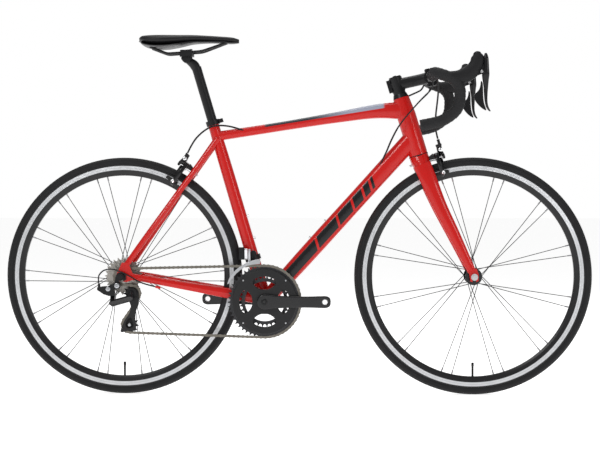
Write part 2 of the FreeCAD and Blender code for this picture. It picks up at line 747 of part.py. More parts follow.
def rear_dropout():
    """The left dropout plate, its slot open downwards for the axle."""
    x, z = rear_axle.x, rear_axle.z
    slot = size("axle_radius") + 0.1
    outline = [(x + 36, z + 2), (x + 30, z + 14), (x + 20, z + 40), (x + 2, z + 40), (x - 8, z + 18),
               (x - 14, z + 6), (x - 14, z - 8), (x - 10, z - 13), (x - slot, z - 13), (x - slot, z),
               (x + slot, z), (x + slot, z - 13), (x + 14, z - 15), (x + 34, z - 8)]
    plate = side_plate(outline, rear_half, rear_tip_outside)
    return plate.cut(cross_rod(x, z, rear_half - 1, rear_tip_outside + 1, slot))


BRIDGE = side_view(-297.0, 628.5)                  # the rear brake's bolt passes here
stay_up = unit(side_view(239, 335.5))
rear_brake = Local(BRIDGE, Vector(-stay_up.z, 0, stay_up.x), stay_up.cross(Vector(-stay_up.z, 0, stay_up.x)))
FRONT_BOLT_DROP = 22.0
front_brake = Local(head_bottom - steer_up * FRONT_BOLT_DROP, steer_ahead, Vector(0, 1, 0))
BRAKE_BOLT_RADIUS = 3.0


# ---------------------------------------------------------------- cable routes

FRONT_BARREL, REAR_BARREL = (64.0, 23.0, 49.0), (44.5, 0.0, 36.0)     # out along the bolt, low end, high end
CABLE_SIDE = -24.0                                 # the caliper's cable side, from its middle
BRAKE_HOUSING, SHIFT_HOUSING, PORT_ROOM = 2.5, 2.0, 0.15


def cable_end(place, barrel):
    """Just above a caliper's barrel adjuster, on the drive side of the bicycle."""
    end = place.point(barrel[0], 0, barrel[2] + 0.8)
    return Vector(end.x, CABLE_SIDE, end.z)


def front_brake_route():
    return [side_view(388, 890.5, -79.5), side_view(392.5, 880, -68), side_view(393.5, 852, -56),
            side_view(391, 822, -40), side_view(388, 791, -26), side_view(386.3, 752, CABLE_SIDE),
            cable_end(front_brake, FRONT_BARREL)]


def shift_route():
    """From the left bar tape into the down tube; the right one mirrors it."""
    return [side_view(376.5, 882.5, 79.5), side_view(380, 865, 67), side_view(350, 838, 62),
            side_view(318, 802, 49), side_view(286, 764, 42), side_view(263, 720, 37),
            side_view(249, 684, 29), side_view(231, 650, 16)]


def top_tube_route():
    """The rear brake's housing from the left bar tape into the top tube."""
    return [side_view(361, 885.5, 79.5), side_view(355, 868, 66), side_view(335, 858, 52),
            side_view(300, 842, 38), side_view(268, 824, 31), side_view(243, 806, 20), side_view(222, 797, 8)]


def rear_brake_route():
    """Out of the top tube, past the seat tube and down to the rear caliper."""
    return [side_view(-142, 744.5, -9), side_view(-178, 757, -16.5), side_view(-211, 763, -21),
            side_view(-243, 761, -25), side_view(-272, 743, -27), side_view(-297, 716, -27),
            cable_end(rear_brake, REAR_BARREL)]


def derailleur_route():
    """The loop from the chain stay's stop, over the axle, to the rear derailleur."""
    return [side_view(-399.3, 308.6, -68.6), side_view(-421, 314, -73), side_view(-445, 323, -79),
            side_view(-470, 340, -86), side_view(-495, 352, -89), side_view(-518, 359.5, -89),
            side_view(-540, 357, -88), side_view(-554, 345, -85), side_view(-558.5, 332, -82),
            side_view(-556.7, 318.4, -79)]


def cable_ports():
    """The holes that let the housings into the tubes."""
    shift = round_sweep(shift_route(), SHIFT_HOUSING + PORT_ROOM)
    return both_sides(shift) + [round_sweep(top_tube_route(), BRAKE_HOUSING + PORT_ROOM),
                                round_sweep(rear_brake_route(), BRAKE_HOUSING + PORT_ROOM)]


def make_cables():
    shift = round_sweep(shift_route(), SHIFT_HOUSING)
    add_shape("front_brake_cable", [round_sweep(front_brake_route(), BRAKE_HOUSING)])
    add_shape("steering_cables", both_sides(shift) + [round_sweep(top_tube_route(), BRAKE_HOUSING)])
    add_shape("rear_cables", [round_sweep(rear_brake_route(), BRAKE_HOUSING),
                              round_sweep(derailleur_route(), SHIFT_HOUSING)])
    for route in (front_brake_route, shift_route, top_tube_route, rear_brake_route, derailleur_route):
        _, radii = bent_path(route())
        print(route.__name__, "bend radii", [round(radius, 1) for radius in radii])


def make_frame():
    shell = cross_rod(bracket.x, bracket.z, -size("bracket_shell_width") / 2, size("bracket_shell_width") / 2,
                      size("shell_radius"))
    bridge = rod(BRIDGE + Vector(0, -25, 0), BRIDGE + Vector(0, 25, 0), 8.0)
    stop_end = side_view(-385, 305, -66)
    cable_stop = rod(side_view(-399, 308.5, -68.5), stop_end, 3.6)
    tubes = [down_tube(), top_tube(), seat_tube(), head_tube(), shell, bridge, cable_stop]
    for part in (chain_stay(), seat_stay(), rear_dropout()):
        tubes.extend(both_sides(part))
    welded = fused(tubes)
    post_bore = rod(along_seat(size("seat_tube_length") - 175), along_seat(size("seat_tube_length") + 5),
                    size("post_radius") + gap)
    length = size("head_tube_length")
    steerer_bore = steering.rod((0, 0, -1), (0, 0, length + 1), 18.0)
    lower_seat = steering.rod((0, 0, -1), (0, 0, 8), 24.0)
    upper_seat = steering.rod((0, 0, length - 8), (0, 0, length + 1), 20.5)
    shell_bore = cross_rod(bracket.x, bracket.z, -40, 40, 17.5)
    bolt_hole = rear_brake.rod((-12, 0, 0), (12, 0, 0), BRAKE_BOLT_RADIUS)
    bosses = [rod(place - way * 8, place + way * 8, 2.5) for place, way in bottle_bosses()]
    bores = [post_bore, steerer_bore, lower_seat, upper_seat, shell_bore, bolt_hole]
    add_shape("frame", [welded.cut(fused(bores + bosses + cable_ports()))])


def bottle_bosses():
    """Where each bottle-cage bolt goes in, and the direction into its tube."""
    down_path = unit(side_view(322, 724) - bracket)
    down_face = Vector(down_path.z, 0, -down_path.x)
    places = []
    for distance in (217.0, 281.0):
        places.append((bracket + down_path * distance - down_face * 20.0, down_face))
    front_face = Vector(seat_up.z, 0, -seat_up.x)
    for distance in (180.0, 244.0):
        places.append((along_seat(distance) + front_face * 13.0, front_face * -1))
    return places


def make_frame_bolts():
    """The four bottle-cage bolts and the rear brake's bolt, with its backing plate and side pin."""
    bolts = []
    for place, way in bottle_bosses():
        shank = rod(place + way * 8, place - way * 7, 2.45)
        head = rod(place - way * 7, place - way * 10, 4.2)
        bolts.append(shank.fuse(head))
    bolts.append(mirrored(brake_bolt(rear_brake, REAR_ARM_START, 9.0)))
    add_shape("frame_bolts", bolts)


SIDE_PIVOT = (17.0, 6.0)                           # the second brake arm's pin, from the main bolt
ARM_THICKNESS = 8.0
FRONT_ARM_START, REAR_ARM_START = 42.0, 24.0       # how far out along the bolt the first arm is


def brake_bolt(place, arm_start, face):
    """A caliper's main bolt with its backing plate and the pin that the second arm turns on."""
    plate_back = arm_start - 5.0
    end = arm_start + 2 * ARM_THICKNESS + 5.0
    bolt = place.rod((-face - 5, 0, 0), (end, 0, 0), BRAKE_BOLT_RADIUS)
    head = place.rod((end - 3.5, 0, 0), (end, 0, 0), 5.0)
    spacer = place.rod((face, 0, 0), (plate_back, 0, 0), 5.5)
    pin = place.rod((plate_back, *SIDE_PIVOT), (end, *SIDE_PIVOT), 2.5)
    pin_head = place.rod((end - 3.5, *SIDE_PIVOT), (end, *SIDE_PIVOT), 4.5)
    outline = [(-6, -7), (8, -7), (23, 0), (24, 9), (16, 13), (2, 9), (-7, 6)]
    plate = place.slab(outline, plate_back, plate_back + 4.5)
    return fused([bolt, head, spacer, pin, pin_head, plate])


make_cables()
make_frame()
make_frame_bolts()


def make_hanger():
    """The replaceable plate that hangs the rear derailleur below the axle."""
    x, z = rear_axle.x, rear_axle.z
    slot = size("axle_radius") + 0.6
    inner, outer = -rear_tip_outside, -rear_tip_outside - size("hanger_thickness")
    outline = [(x + 14, z + 6), (x + 8, z + 12), (x - 8, z + 12), (x - 14, z + 4), (x - 20, z - 24),
               (x - 14, z - 32), (x - 4, z - 32), (x - slot, z - 16), (x - slot, z), (x + slot, z),
               (x + slot, z - 12), (x + 14, z - 8)]
    plate = side_plate(outline, outer, inner).cut(cross_rod(x, z, outer - 1, inner + 1, slot))
    bore = cross_rod(HANGER_BOLT.x, HANGER_BOLT.z, outer - 1, inner + 1, 4.5)
    add_shape("derailleur_hanger", [plate.cut(bore)])


HANGER_BOLT = side_view(-505.0, 312.0)
make_hanger()


def make_seat_clamp():
    """A collar round the seat tube's top, slit at the back, with its bolt."""
    across = Vector(seat_up.z, 0, -seat_up.x)
    place = Local(along_seat(size("seat_tube_length") - 13), across, Vector(0, 1, 0))
    collar = place.rod((0, 0, 0), (0, 0, 14.0), 19.4)
    ears = place.box((14, 30), (-7, 7), (1.5, 12.5))
    hollow = place.rod((0, 0, -1), (0, 0, 15), size("seat_tube_radius") + 0.4)
    post_gap = place.box((15, 32), (-1, 1), (-1, 16))
    bolt = place.rod((24.5, -9.5, 7), (24.5, 9.5, 7), 2.5)
    head = place.rod((24.5, -12.5, 7), (24.5, -7, 7), 4.2)
    hole = place.rod((24.5, -12, 7), (24.5, 12, 7), 2.5)
    add_shape("seat_clamp", [collar.fuse(ears).cut(fused([hollow, post_gap, hole])), bolt.fuse(head)])


make_seat_clamp()


def make_bearings():
    """The two headset bearings, seated in the head tube."""
    length = size("head_tube_length")
    lower = steering.rod((0, 0, 0.2), (0, 0, 7.8), 24.0)
    lower = lower.cut(steering.rod((0, 0, -1), (0, 0, 9), size("crown_race_radius") + gap))
    upper = steering.rod((0, 0, length - 7.8), (0, 0, length - 0.2), 20.5)
    upper = upper.cut(steering.rod((0, 0, length - 9), (0, 0, length + 1), size("steerer_radius") + gap))
    add_shape("headset_bearings", [lower, upper])


make_bearings()
SHELL_PLACE = ("sizes.bracket_x", "0", "sizes.bracket_height")


def make_bottom_bracket():
    """Threaded cups with their bearings outside the shell, joined by a sleeve inside it."""
    shell, bore = size("bracket_shell_width") / 2, size("spindle_radius") + gap
    outline = []
    for side in (1, -1):
        corners = [(shell + 11, bore), (shell + 11, 22.0), (shell, 22.0), (shell, 17.5), (shell - 12, 17.5),
                   (shell - 12, 15.5)]
        ordered = corners if side == 1 else list(reversed(corners))
        outline.extend([(side * y, radius) for y, radius in ordered])
    outline.extend([(-shell + 1, bore), (-shell + 1, 14.5), (shell - 1, 14.5), (shell - 1, bore)])
    turned_body("bottom_bracket", outline, SHELL_PLACE)


make_bottom_bracket()


# ---------------------------------------------------------------- fork

HEAD_LENGTH = size("head_tube_length")
SPACER_TOP = HEAD_LENGTH + 19.0
STEM_TOP = SPACER_TOP + 40.0


def fork_blade():
    """The left fork blade; the right one mirrors it."""
    return tube([(side_view(350, 652, 25), 25, 11), (side_view(369, 606, 31), 23.5, 12),
                 (side_view(397, 540, 37), 20, 11), (side_view(439, 455, 44), 16.5, 9),
                 (side_view(478, 374, 50.3), 12.5, 6), (side_view(488.5, 351, 52.6), 11.5, 3.4)])


def fork_tip():
    """The left fork dropout, its slot open downwards for the axle."""
    x, z = front_axle.x, front_axle.z
    slot = size("axle_radius") + 0.1
    outline = [(x - 17, z + 18), (x + 6, z + 24), (x + 12, z + 8), (x + 12, z - 11), (x + slot, z - 14),
               (x + slot, z), (x - slot, z), (x - slot, z - 14), (x - 11, z - 12), (x - 13, z + 2)]
    plate = side_plate(outline, front_half, fork_tip_outside)
    return plate.cut(cross_rod(x, z, front_half - 1, fork_tip_outside + 1, slot))


def make_fork():
    crown_top = -0.5
    crown = tube([(steering.point(0, 0, crown_top), 26.5, 26.5), (steering.point(0, 0, -12), 27, 31),
                  (steering.point(1, 0, -28), 25, 36)], 2.4)
    race = steering.rod((0, 0, crown_top), (0, 0, 7.9), size("crown_race_radius"))
    steerer = steering.rod((0, 0, crown_top), (0, 0, STEM_TOP - 3), size("steerer_radius"))
    parts = [crown, race, steerer]
    for part in (fork_blade(), fork_tip()):
        parts.extend(both_sides(part))
    bolt_hole = front_brake.rod((-45, 0, 0), (45, 0, 0), BRAKE_BOLT_RADIUS)
    tyre_room = cross_rod(front_axle.x, front_axle.z, -14.2, 14.2, size("axle_height") + 4.0)
    add_shape("fork", [fused(parts).cut(bolt_hole).cut(tyre_room)])
    add_shape("front_brake_bolt", [brake_bolt(front_brake, FRONT_ARM_START, 28.0)])


make_fork()


# ---------------------------------------------------------------- stem and bar

stem_middle = steering.point(0, 0, (SPACER_TOP + STEM_TOP) / 2)
stem_ahead = leaning(size("stem_rise"))
bar_middle = stem_middle + stem_ahead * size("stem_length")
bar_place = Local(bar_middle, stem_ahead, Vector(0, 1, 0))
CLAMP_RADIUS, CLAMP_HALF = 20.5, 22.0
FACE_BOLTS = [(side, height) for side in (-15.0, 15.0) for height in (-20.5, 20.5)]


def make_headset_top():
    """The cone-shaped cover, the spacer, and the cap with its bolt on top of the stem."""
    inner = size("steerer_radius")
    parts = []
    for bottom, top, low_radius, high_radius in ((HEAD_LENGTH + 0.4, HEAD_LENGTH + 12, 22.3, 18.5),
                                                 (HEAD_LENGTH + 12, SPACER_TOP, 17.5, 17.5)):
        outline = [(inner, bottom), (low_radius, bottom), (high_radius, top), (inner, top)]
        face = polygon_face([Vector(radius, 0, along) for radius, along in outline])
        parts.append(steering.put(face.revolve(Vector(0, 0, 0), Vector(0, 0, 1), 360)))
    cap = steering.rod((0, 0, STEM_TOP), (0, 0, STEM_TOP + 3.5), 17.0)
    bolt = steering.rod((0, 0, STEM_TOP + 3.5), (0, 0, STEM_TOP + 6), 5.0)
    add_shape("headset_top", parts + [cap.fuse(bolt)])


def stem_clamp(front):
    """The half of the bar clamp that is ahead of, or behind, the bar's middle."""
    start, end = (0.8, 30.0) if front else (-30.0, -0.8)
    ring = bar_place.rod((0, -CLAMP_HALF, 0), (0, CLAMP_HALF, 0), CLAMP_RADIUS)
    ears = [bar_place.box((-13, 9), (side - 5, side + 5), (height - 4.5, height + 4.5))
            for side, height in FACE_BOLTS]
    half_space = bar_place.box((start, end), (-40, 40), (-40, 40))
    holes = [bar_place.rod((-14, side, height), (14, side, height), 2.5) for side, height in FACE_BOLTS]
    bore = bar_place.rod((0, -40, 0), (0, 40, 0), size("bar_radius"))
    return fused([ring] + ears), half_space, fused(holes + [bore])


def make_stem():
    ring, half_space, holes = stem_clamp(front=False)
    collar = steering.rod((0, 0, SPACER_TOP), (0, 0, STEM_TOP), 19.0)
    sections = ((0, 16.5, 17), (35, 16, 16), (70, 16, 17), (92, 17, 20))
    stations = [(stem_middle + stem_ahead * distance, depth, width) for distance, depth, width in sections]
    reach = tube(stations, 2.4)
    ears = steering.box((-27, -14), (-8, 8), (SPACER_TOP + 2, STEM_TOP - 2))
    slit = steering.box((-30, -12), (-0.8, 0.8), (SPACER_TOP - 1, STEM_TOP + 1))
    steerer = steering.rod((0, 0, SPACER_TOP - 1), (0, 0, STEM_TOP + 1), size("steerer_radius"))
    stem = fused([collar, reach, ears, ring.common(half_space)]).cut(fused([slit, steerer, holes]))
    front_space = bar_place.box((-0.8, 40), (-40, 40), (-40, 40))
    stem = stem.cut(front_space)
    bolts = []
    for height in (SPACER_TOP + 9, STEM_TOP - 9):
        hole = steering.rod((-21.5, -12, height), (-21.5, 12, height), 2.5)
        stem = stem.cut(hole)
        shank = steering.rod((-21.5, -9.5, height), (-21.5, 9.5, height), 2.5)
        head = steering.rod((-21.5, -12.5, height), (-21.5, -8, height), 4.2)
        bolts.append(shank.fuse(head))
    add_shape("stem", [stem] + bolts)


def make_faceplate():
    ring, half_space, holes = stem_clamp(front=True)
    plate = ring.common(half_space).cut(holes)
    bolts = []
    for side, height in FACE_BOLTS:
        shank = bar_place.rod((-12, side, height), (9, side, height), 2.5)
        head = bar_place.rod((9, side, height), (13, side, height), 4.2)
        bolts.append(shank.fuse(head))
    add_shape("stem_faceplate", [plate] + bolts)


BAR_BEND = [Vector(376, 207, 898), Vector(444, 211, 873), Vector(441, 211, 799), Vector(398, 210.5, 765.5),
            Vector(336.5, 210, 753.4)]


def bar_points(start_y):
    """The left half of the bar, from start_y out, forward and down to its end."""
    return [Vector(bar_middle.x, start_y, bar_middle.z)] + BAR_BEND


def make_bar():
    grip, thick = size("bar_grip_radius"), size("bar_radius")
    middle = turned([(-66, 0), (66, 0), (66, grip), (48, thick), (-48, thick), (-66, grip)], bar_middle)
    curved = both_sides(round_sweep(bar_points(66.0), grip))
    add_shape("handlebar", [fused([middle] + curved)])
    outer = round_sweep(bar_points(82.0), size("tape_radius"))
    inner = round_sweep(bar_points(82.0), grip + 2 * gap)
    down = unit(BAR_BEND[-1] - BAR_BEND[-2])
    plug = rod(BAR_BEND[-1], BAR_BEND[-1] + down * 3.0, size("tape_radius"))
    add_shape("bar_tape", both_sides(outer.cut(inner)) + both_sides(plug))
    return outer


make_headset_top()
make_stem()
make_faceplate()
left_tape = make_bar()


# ---------------------------------------------------------------- levers

LEVER_Y = 208.0
lever_pivot = side_view(501.0, 901.0, LEVER_Y)
shift_pivot = side_view(498.0, 876.0, LEVER_Y)
NOSE_HALF, PIN_RADIUS, SHIFT_PIN_RADIUS = 6.0, 2.5, 1.5


def make_lever_group():
    """The lever bodies and hoods of both sides, and each side's brake lever and shift paddle."""
    nose = side_plate([(478, 888), (481, 916), (498, 922), (507, 913), (509, 900), (503, 893), (492, 889)],
                      LEVER_Y - NOSE_HALF, LEVER_Y + NOSE_HALF)
    pin = cross_rod(lever_pivot.x, lever_pivot.z, LEVER_Y - 9.0, LEVER_Y + 9.0, PIN_RADIUS)
    add_shape("lever_bodies", both_sides(nose.fuse(pin)))
    hood = tube([(side_view(426, 886, LEVER_Y), 17, 15), (side_view(452, 889, LEVER_Y), 20.5, 16.5),
                 (side_view(475, 903, LEVER_Y), 19, 15.5), (side_view(488, 922, LEVER_Y), 16.5, 14.5),
                 (side_view(489, 941, LEVER_Y), 13.5, 13), (side_view(487, 954, LEVER_Y), 6, 7)])
    ear_room = cross_rod(lever_pivot.x, lever_pivot.z, LEVER_Y - 20, LEVER_Y + 20, 8.5)
    hood = hood.cut(fused([nose, ear_room])).cut(left_tape)
    add_shape("lever_hoods", both_sides(max(hood.Solids, key=lambda solid: solid.Volume)))
    head = side_plate([(509, 948), (516, 935), (519, 915), (522, 890), (519, 868), (505, 872), (501, 886),
                       (495.5, 896), (494.5, 901), (497, 907.5), (503, 910), (508, 914), (508.5, 930),
                       (506, 946)], LEVER_Y - 8.8, LEVER_Y + 8.8)
    blade = side_plate([(520, 875), (517.5, 851), (515.5, 819), (526, 793), (519.5, 791), (509.5, 812),
                        (507, 850), (505, 875)], LEVER_Y - 5.5, LEVER_Y + 5.5)
    room = side_plate([(480, 882), (511, 882), (511, 926), (480, 926)], LEVER_Y - 6.4, LEVER_Y + 6.4)
    bore = cross_rod(lever_pivot.x, lever_pivot.z, LEVER_Y - 12, LEVER_Y + 12, PIN_RADIUS + gap)
    pin_back, pin_front = (side_view(x, shift_pivot.z, LEVER_Y) for x in (491, 508))
    shift_pin = rod(pin_back, pin_front, SHIFT_PIN_RADIUS)
    lever = head.fuse(blade).cut(fused([room, bore])).fuse(shift_pin)
    paddle = side_plate([(499, 873), (497, 862), (492, 852), (478, 836), (482, 824), (496, 808), (511, 794),
                         (513, 797), (506.2, 815), (504.6, 850), (503, 868), (503, 873)],
                        LEVER_Y - 4, LEVER_Y + 4)
    boss = rod(side_view(492, shift_pivot.z, LEVER_Y), side_view(502.4, shift_pivot.z, LEVER_Y), 3.2)
    eye_back, eye_front = (side_view(x, shift_pivot.z, LEVER_Y) for x in (485, 510))
    eye = rod(eye_back, eye_front, SHIFT_PIN_RADIUS + gap)
    paddle = paddle.fuse(boss).cut(eye)
    for side, turn in (("left", lambda shape: shape), ("right", mirrored)):
        add_shape(f"brake_lever_{side}", [turn(lever)])
        add_shape(f"shift_paddle_{side}", [turn(paddle)])


make_lever_group()


# ---------------------------------------------------------------- cranks and chainrings

CRANK_FACE = size("crank_outside")
BOSS_END = -46.0                                   # where the spindle leaves the drive-side arm
SPIDER_ANGLES = [45.0 + 90.0 * quarter for quarter in range(4)]


def arm_plate(start, start_radius, end, end_radius, y_from, y_to):
    """A side-view plate with two round ends and straight sides."""
    across = unit(Vector(start.z - end.z, 0, end.x - start.x))
    corners = [start + across * start_radius, end + across * end_radius, end - across * end_radius,
               start - across * start_radius]
    web = side_plate([(corner.x, corner.z) for corner in corners], y_from, y_to)
    return fused([web, cross_rod(start.x, start.z, y_from, y_to, start_radius),
                  cross_rod(end.x, end.z, y_from, y_to, end_radius)])


def around_bracket(radius, angle):
    return bracket + leaning(angle) * radius


def make_cranks():
    """The drive-side arm with its spider and spindle, and the other arm clamped on the spindle."""
    spindle, length = size("spindle_radius"), size("crank_length")
    pedal = bracket + Vector(length, 0, 0)
    arm = arm_plate(bracket, 20.0, pedal, 15.0, -CRANK_FACE, -CRANK_FACE + 13)
    boss = cross_rod(bracket.x, bracket.z, -CRANK_FACE, BOSS_END, 22.0)
    spider = [arm_plate(bracket, 15.0, around_bracket(size("bolt_circle"), angle), 8.0, -58.0, -53.05)
              for angle in SPIDER_ANGLES]
    hollow = cross_rod(bracket.x, bracket.z, -CRANK_FACE - 1, CRANK_FACE, 10.0)
    shaft = cross_rod(bracket.x, bracket.z, BOSS_END, CRANK_FACE - 1, spindle).cut(hollow)
    drill = [hollow,
             cross_rod(pedal.x, pedal.z, -CRANK_FACE - 1, -CRANK_FACE + 14, 7.0)]
    for angle in SPIDER_ANGLES:
        place = around_bracket(size("bolt_circle"), angle)
        drill.append(cross_rod(place.x, place.z, -59, -52, 4.05))
    add_shape("crank_arm_right", [fused([arm, boss] + spider).cut(fused(drill)), shaft])
    far_pedal = bracket - Vector(length, 0, 0)
    arm = arm_plate(bracket, 20.0, far_pedal, 15.0, CRANK_FACE - 13, CRANK_FACE)
    boss = cross_rod(bracket.x, bracket.z, 47.0, CRANK_FACE, 19.0)
    x, z = bracket.x, bracket.z
    slit = side_plate([(x + 8, z - 0.8), (x + 24, z - 0.8), (x + 24, z + 0.8), (x + 8, z + 0.8)],
                      46, CRANK_FACE + 1)
    pinch = [rod(Vector(x + 15.5, y, z - 11), Vector(x + 15.5, y, z + 11), 2.0) for y in (52.0, 66.0)]
    seat = cross_rod(bracket.x, bracket.z, 46, CRANK_FACE + 1, spindle)
    thread = cross_rod(far_pedal.x, far_pedal.z, CRANK_FACE - 14, CRANK_FACE + 1, 7.0)
    add_shape("crank_arm_left", [fused([arm, boss]).cut(fused([slit, seat, thread] + pinch))] + pinch)


def make_chainrings():
    """Both rings on one four-bolt circle, the big one with its bolts."""
    circle = size("bolt_circle")
    line = wheel_line["ring"]
    teeth = size("big_ring_teeth")
    plate = sprocket(teeth, pocket_angle(bracket, teeth), bracket, line, 2.0, 78.0)
    rim = turned([(-53.0, 80), (-48.25, 80), (-48.25, 92), (-51.0, 92)], bracket)
    lugs = [arm_plate(around_bracket(circle, angle), 8.0, around_bracket(82, angle), 12.0, -53.0, line + 1)
            for angle in SPIDER_ANGLES]
    holes, bolts = [], []
    for angle in SPIDER_ANGLES:
        place = around_bracket(circle, angle)
        holes.append(cross_rod(place.x, place.z, -54, -38, 4.05))
        head = cross_rod(place.x, place.z, -60.0, -58.0, 5.5)
        bolts.append(cross_rod(place.x, place.z, -58.5, -39.0, 4.0).fuse(head))
    add_shape("big_chainring", [fused([plate, rim] + lugs).cut(fused(holes))] + bolts)
    teeth = size("small_ring_teeth")
    plate = sprocket(teeth, math.pi / 2, bracket, -40.2, 2.0, 56.0)
    tabs = [arm_plate(around_bracket(circle, angle), 7.5, around_bracket(61, angle), 9.0, -41.2, -39.2)
            for angle in SPIDER_ANGLES]
    add_shape("small_chainring", [fused([plate] + tabs).cut(fused(holes))])


make_cranks()
make_chainrings()


# ---------------------------------------------------------------- seat

seat_pivot = side_view(-316.0, 951.0)
rail_line = unit(side_view(89.0, 6.0))
rail_middle = side_view(-316.5, 969.0)
clamp_place = Local(rail_middle, rail_line, Vector(0, 1, 0))
TILT_RADIUS = 11.0
SADDLE = [(-449, 24, 1012, 1002), (-440, 52, 1016, 994), (-415, 68, 1018, 986), (-380, 70, 1018.5, 985),
          (-340, 58, 1018.5, 990), (-300, 38, 1019, 997), (-260, 26, 1017.5, 999), (-220, 21, 1015, 999),
          (-185, 18, 1012, 997), (-168, 9, 1007, 999)]


def make_seatpost():
    shown, hidden, radius = size("post_shown"), size("post_hidden"), size("post_radius")
    low = along_seat(size("seat_tube_length") - hidden)
    high = along_seat(size("seat_tube_length") + shown - 14)
    post = rod(low, high, radius).cut(rod(low - seat_up, high - seat_up * 20, 12.0))
    neck = tube([(high - seat_up * 6, 13.0, 13.0), (high + Vector(-7, 0, 8), 13.5, 14.0),
                 (seat_pivot - Vector(0, 0, 2), 8.5, 15.0)])
    head = cross_rod(seat_pivot.x, seat_pivot.z, -16.0, 16.0, TILT_RADIUS)
    add_shape("seatpost", [fused([post, neck, head])])


def make_saddle_clamp():
    """Two plates bolted round the rails, the lower one turning on the post's head."""
    rail, spread = size("rail_radius") + gap, size("rail_spread")
    lower = clamp_place.box((-18, 18), (-29, 29), (-11, -0.3))
    outline = [(-15, 0), (-8, -9), (8, -9), (15, 0), (12, 11), (-12, 10)]
    cheek = side_plate([(seat_pivot.x + x, seat_pivot.z + z) for x, z in outline], 16.3, 20.0)
    upper = clamp_place.box((-16, 16), (-29, 29), (0.3, 7.0))
    turning = cross_rod(seat_pivot.x, seat_pivot.z, -16.3, 16.3, TILT_RADIUS + gap)
    grooves = [clamp_place.rod((-30, side * spread, 0), (30, side * spread, 0), rail) for side in (-1, 1)]
    plates = [fused([lower, cheek, mirrored(cheek)]).cut(turning), upper]
    bolts = []
    for along in (-12.5, 12.5):
        hole = clamp_place.rod((along, 0, -12), (along, 0, 8), 2.5)
        plates = [plate.cut(hole) for plate in plates]
        shank = clamp_place.rod((along, 0, -6.5), (along, 0, 7), 2.5)
        bolts.append(shank.fuse(clamp_place.rod((along, 0, 7), (along, 0, 10), 4.2)))
    shapes = [plate.cut(fused(grooves)) for plate in plates] + bolts
    for along in (-12.5, 12.5):
        shapes[-1] = shapes[-1].cut(turning)
        shapes[-2] = shapes[-2].cut(turning)
    add_shape("saddle_clamp", shapes)


def make_saddle():
    """The cover over a thin base, and the two rails held by the base at both ends."""
    def stations(narrower, top, bottom):
        places = []
        for x, half_width, upper, lower in SADDLE:
            high = top(upper, lower)
            low = bottom(upper, lower)
            places.append((side_view(x, (high + low) / 2), (high - low) / 2, half_width - narrower))
        return places
    full = tube(stations(0.0, lambda upper, lower: upper, lambda upper, lower: lower), 2.6, 24)
    base = tube(stations(3.0, lambda upper, lower: lower + 4.0, lambda upper, lower: lower - 3.0), 3.0, 24)
    rails = []
    spread = size("rail_spread")
    for side in (1, -1):
        points = [side_view(-418, 984, 32 * side), side_view(-370, 965.4, spread * side),
                  side_view(-272, 972, spread * side), side_view(-200, 998, 10 * side)]
        rails.append(round_sweep(points, size("rail_radius"), 0.15))
    add_shape("saddle_cover", [full.cut(base)])
    add_shape("saddle_rails", [fused([base] + rails)])


make_seatpost()
make_saddle_clamp()
make_saddle()


# ---------------------------------------------------------------- brake arms

def brake_arms(place, start, reach, pad_from, pad_to, barrel_out, barrel_low, barrel_high):
    """One caliper's two arms with their pads; the second carries the cable's barrel adjuster."""
    low, far, stop = -reach - 7.0, start + 2 * ARM_THICKNESS + 0.5, BRAKE_BOLT_RADIUS + gap
    first = [(0, 12), (-10, 14), (-24, 10), (-33, -8), (-34, -30), (-31, low), (-24, low), (-24, -30),
             (-22, -8), (-12, -9), (0, -9), (9, -4), (10, 6)]
    second = [(17, 15), (28, 10), (35, -8), (35, -30), (31, low), (24, low), (24, -30), (23, -8), (10, -2),
              (8, 9), (-6, 12), (-14, 14), (CABLE_SIDE - 6, barrel_low + 6),
              (CABLE_SIDE - 5, barrel_low + 16), (CABLE_SIDE + 5, barrel_low + 16), (-6, 24), (4, 20)]
    arms = [place.slab(first, start, start + ARM_THICKNESS), place.slab(second, start + 8.5, far)]
    bores = [place.rod((start - 1, 0, 0), (far + 1, 0, 0), stop),
             place.rod((start - 1, *SIDE_PIVOT), (far + 1, *SIDE_PIVOT), 2.5 + gap)]
    made = []
    for arm, bore, side, middle in zip(arms, bores, (-1, 1), (start + 4, start + 12.5)):
        pad = place.box((pad_from, pad_to), sorted((side * 12.2, side * 21.0)), (-reach - 4.5, -reach + 4.5))
        bolt = place.rod((middle, side * 16, -reach), (middle, side * 36, -reach), 3.0)
        made.append(fused([arm, pad, bolt]).cut(bore))
    seat = place.box((start + 9, barrel_out + 3), (CABLE_SIDE - 5, CABLE_SIDE + 5),
                     (barrel_low + 6, barrel_low + 14))
    barrel = place.rod((barrel_out, CABLE_SIDE, barrel_low), (barrel_out, CABLE_SIDE, barrel_high), 4.0)
    made[1] = fused([made[1], seat, barrel])
    return made


first_arm, second_arm = brake_arms(front_brake, FRONT_ARM_START, 45.0, 29.0, 68.0, *FRONT_BARREL)
add_shape("front_brake_arm_right", [first_arm])
add_shape("front_brake_arm_left", [second_arm])
first_arm, second_arm = brake_arms(rear_brake, REAR_ARM_START, 52.0, 20.0, 56.0, *REAR_BARREL)
add_shape("rear_brake_arm_right", [mirrored(first_arm)])
add_shape("rear_brake_arm_left", [mirrored(second_arm)])


# ---------------------------------------------------------------- rear derailleur

shift_inward = Vector(0, 0.770, -0.638)            # the way the mechanism moves, square to its pins
rear_shift = Local(side_view(-520, 275.1, -69.2), Vector(1, 0, 0), shift_inward)
FIXED_PINS, MOVING_PINS = ((0.0, 0.0), (0.0, 13.0)), ((52.7, -24.3), (52.7, -11.3))
LINK_LOW, LINK_HIGH = -15.0, -9.0
PIVOT_RADIUS = 2.5


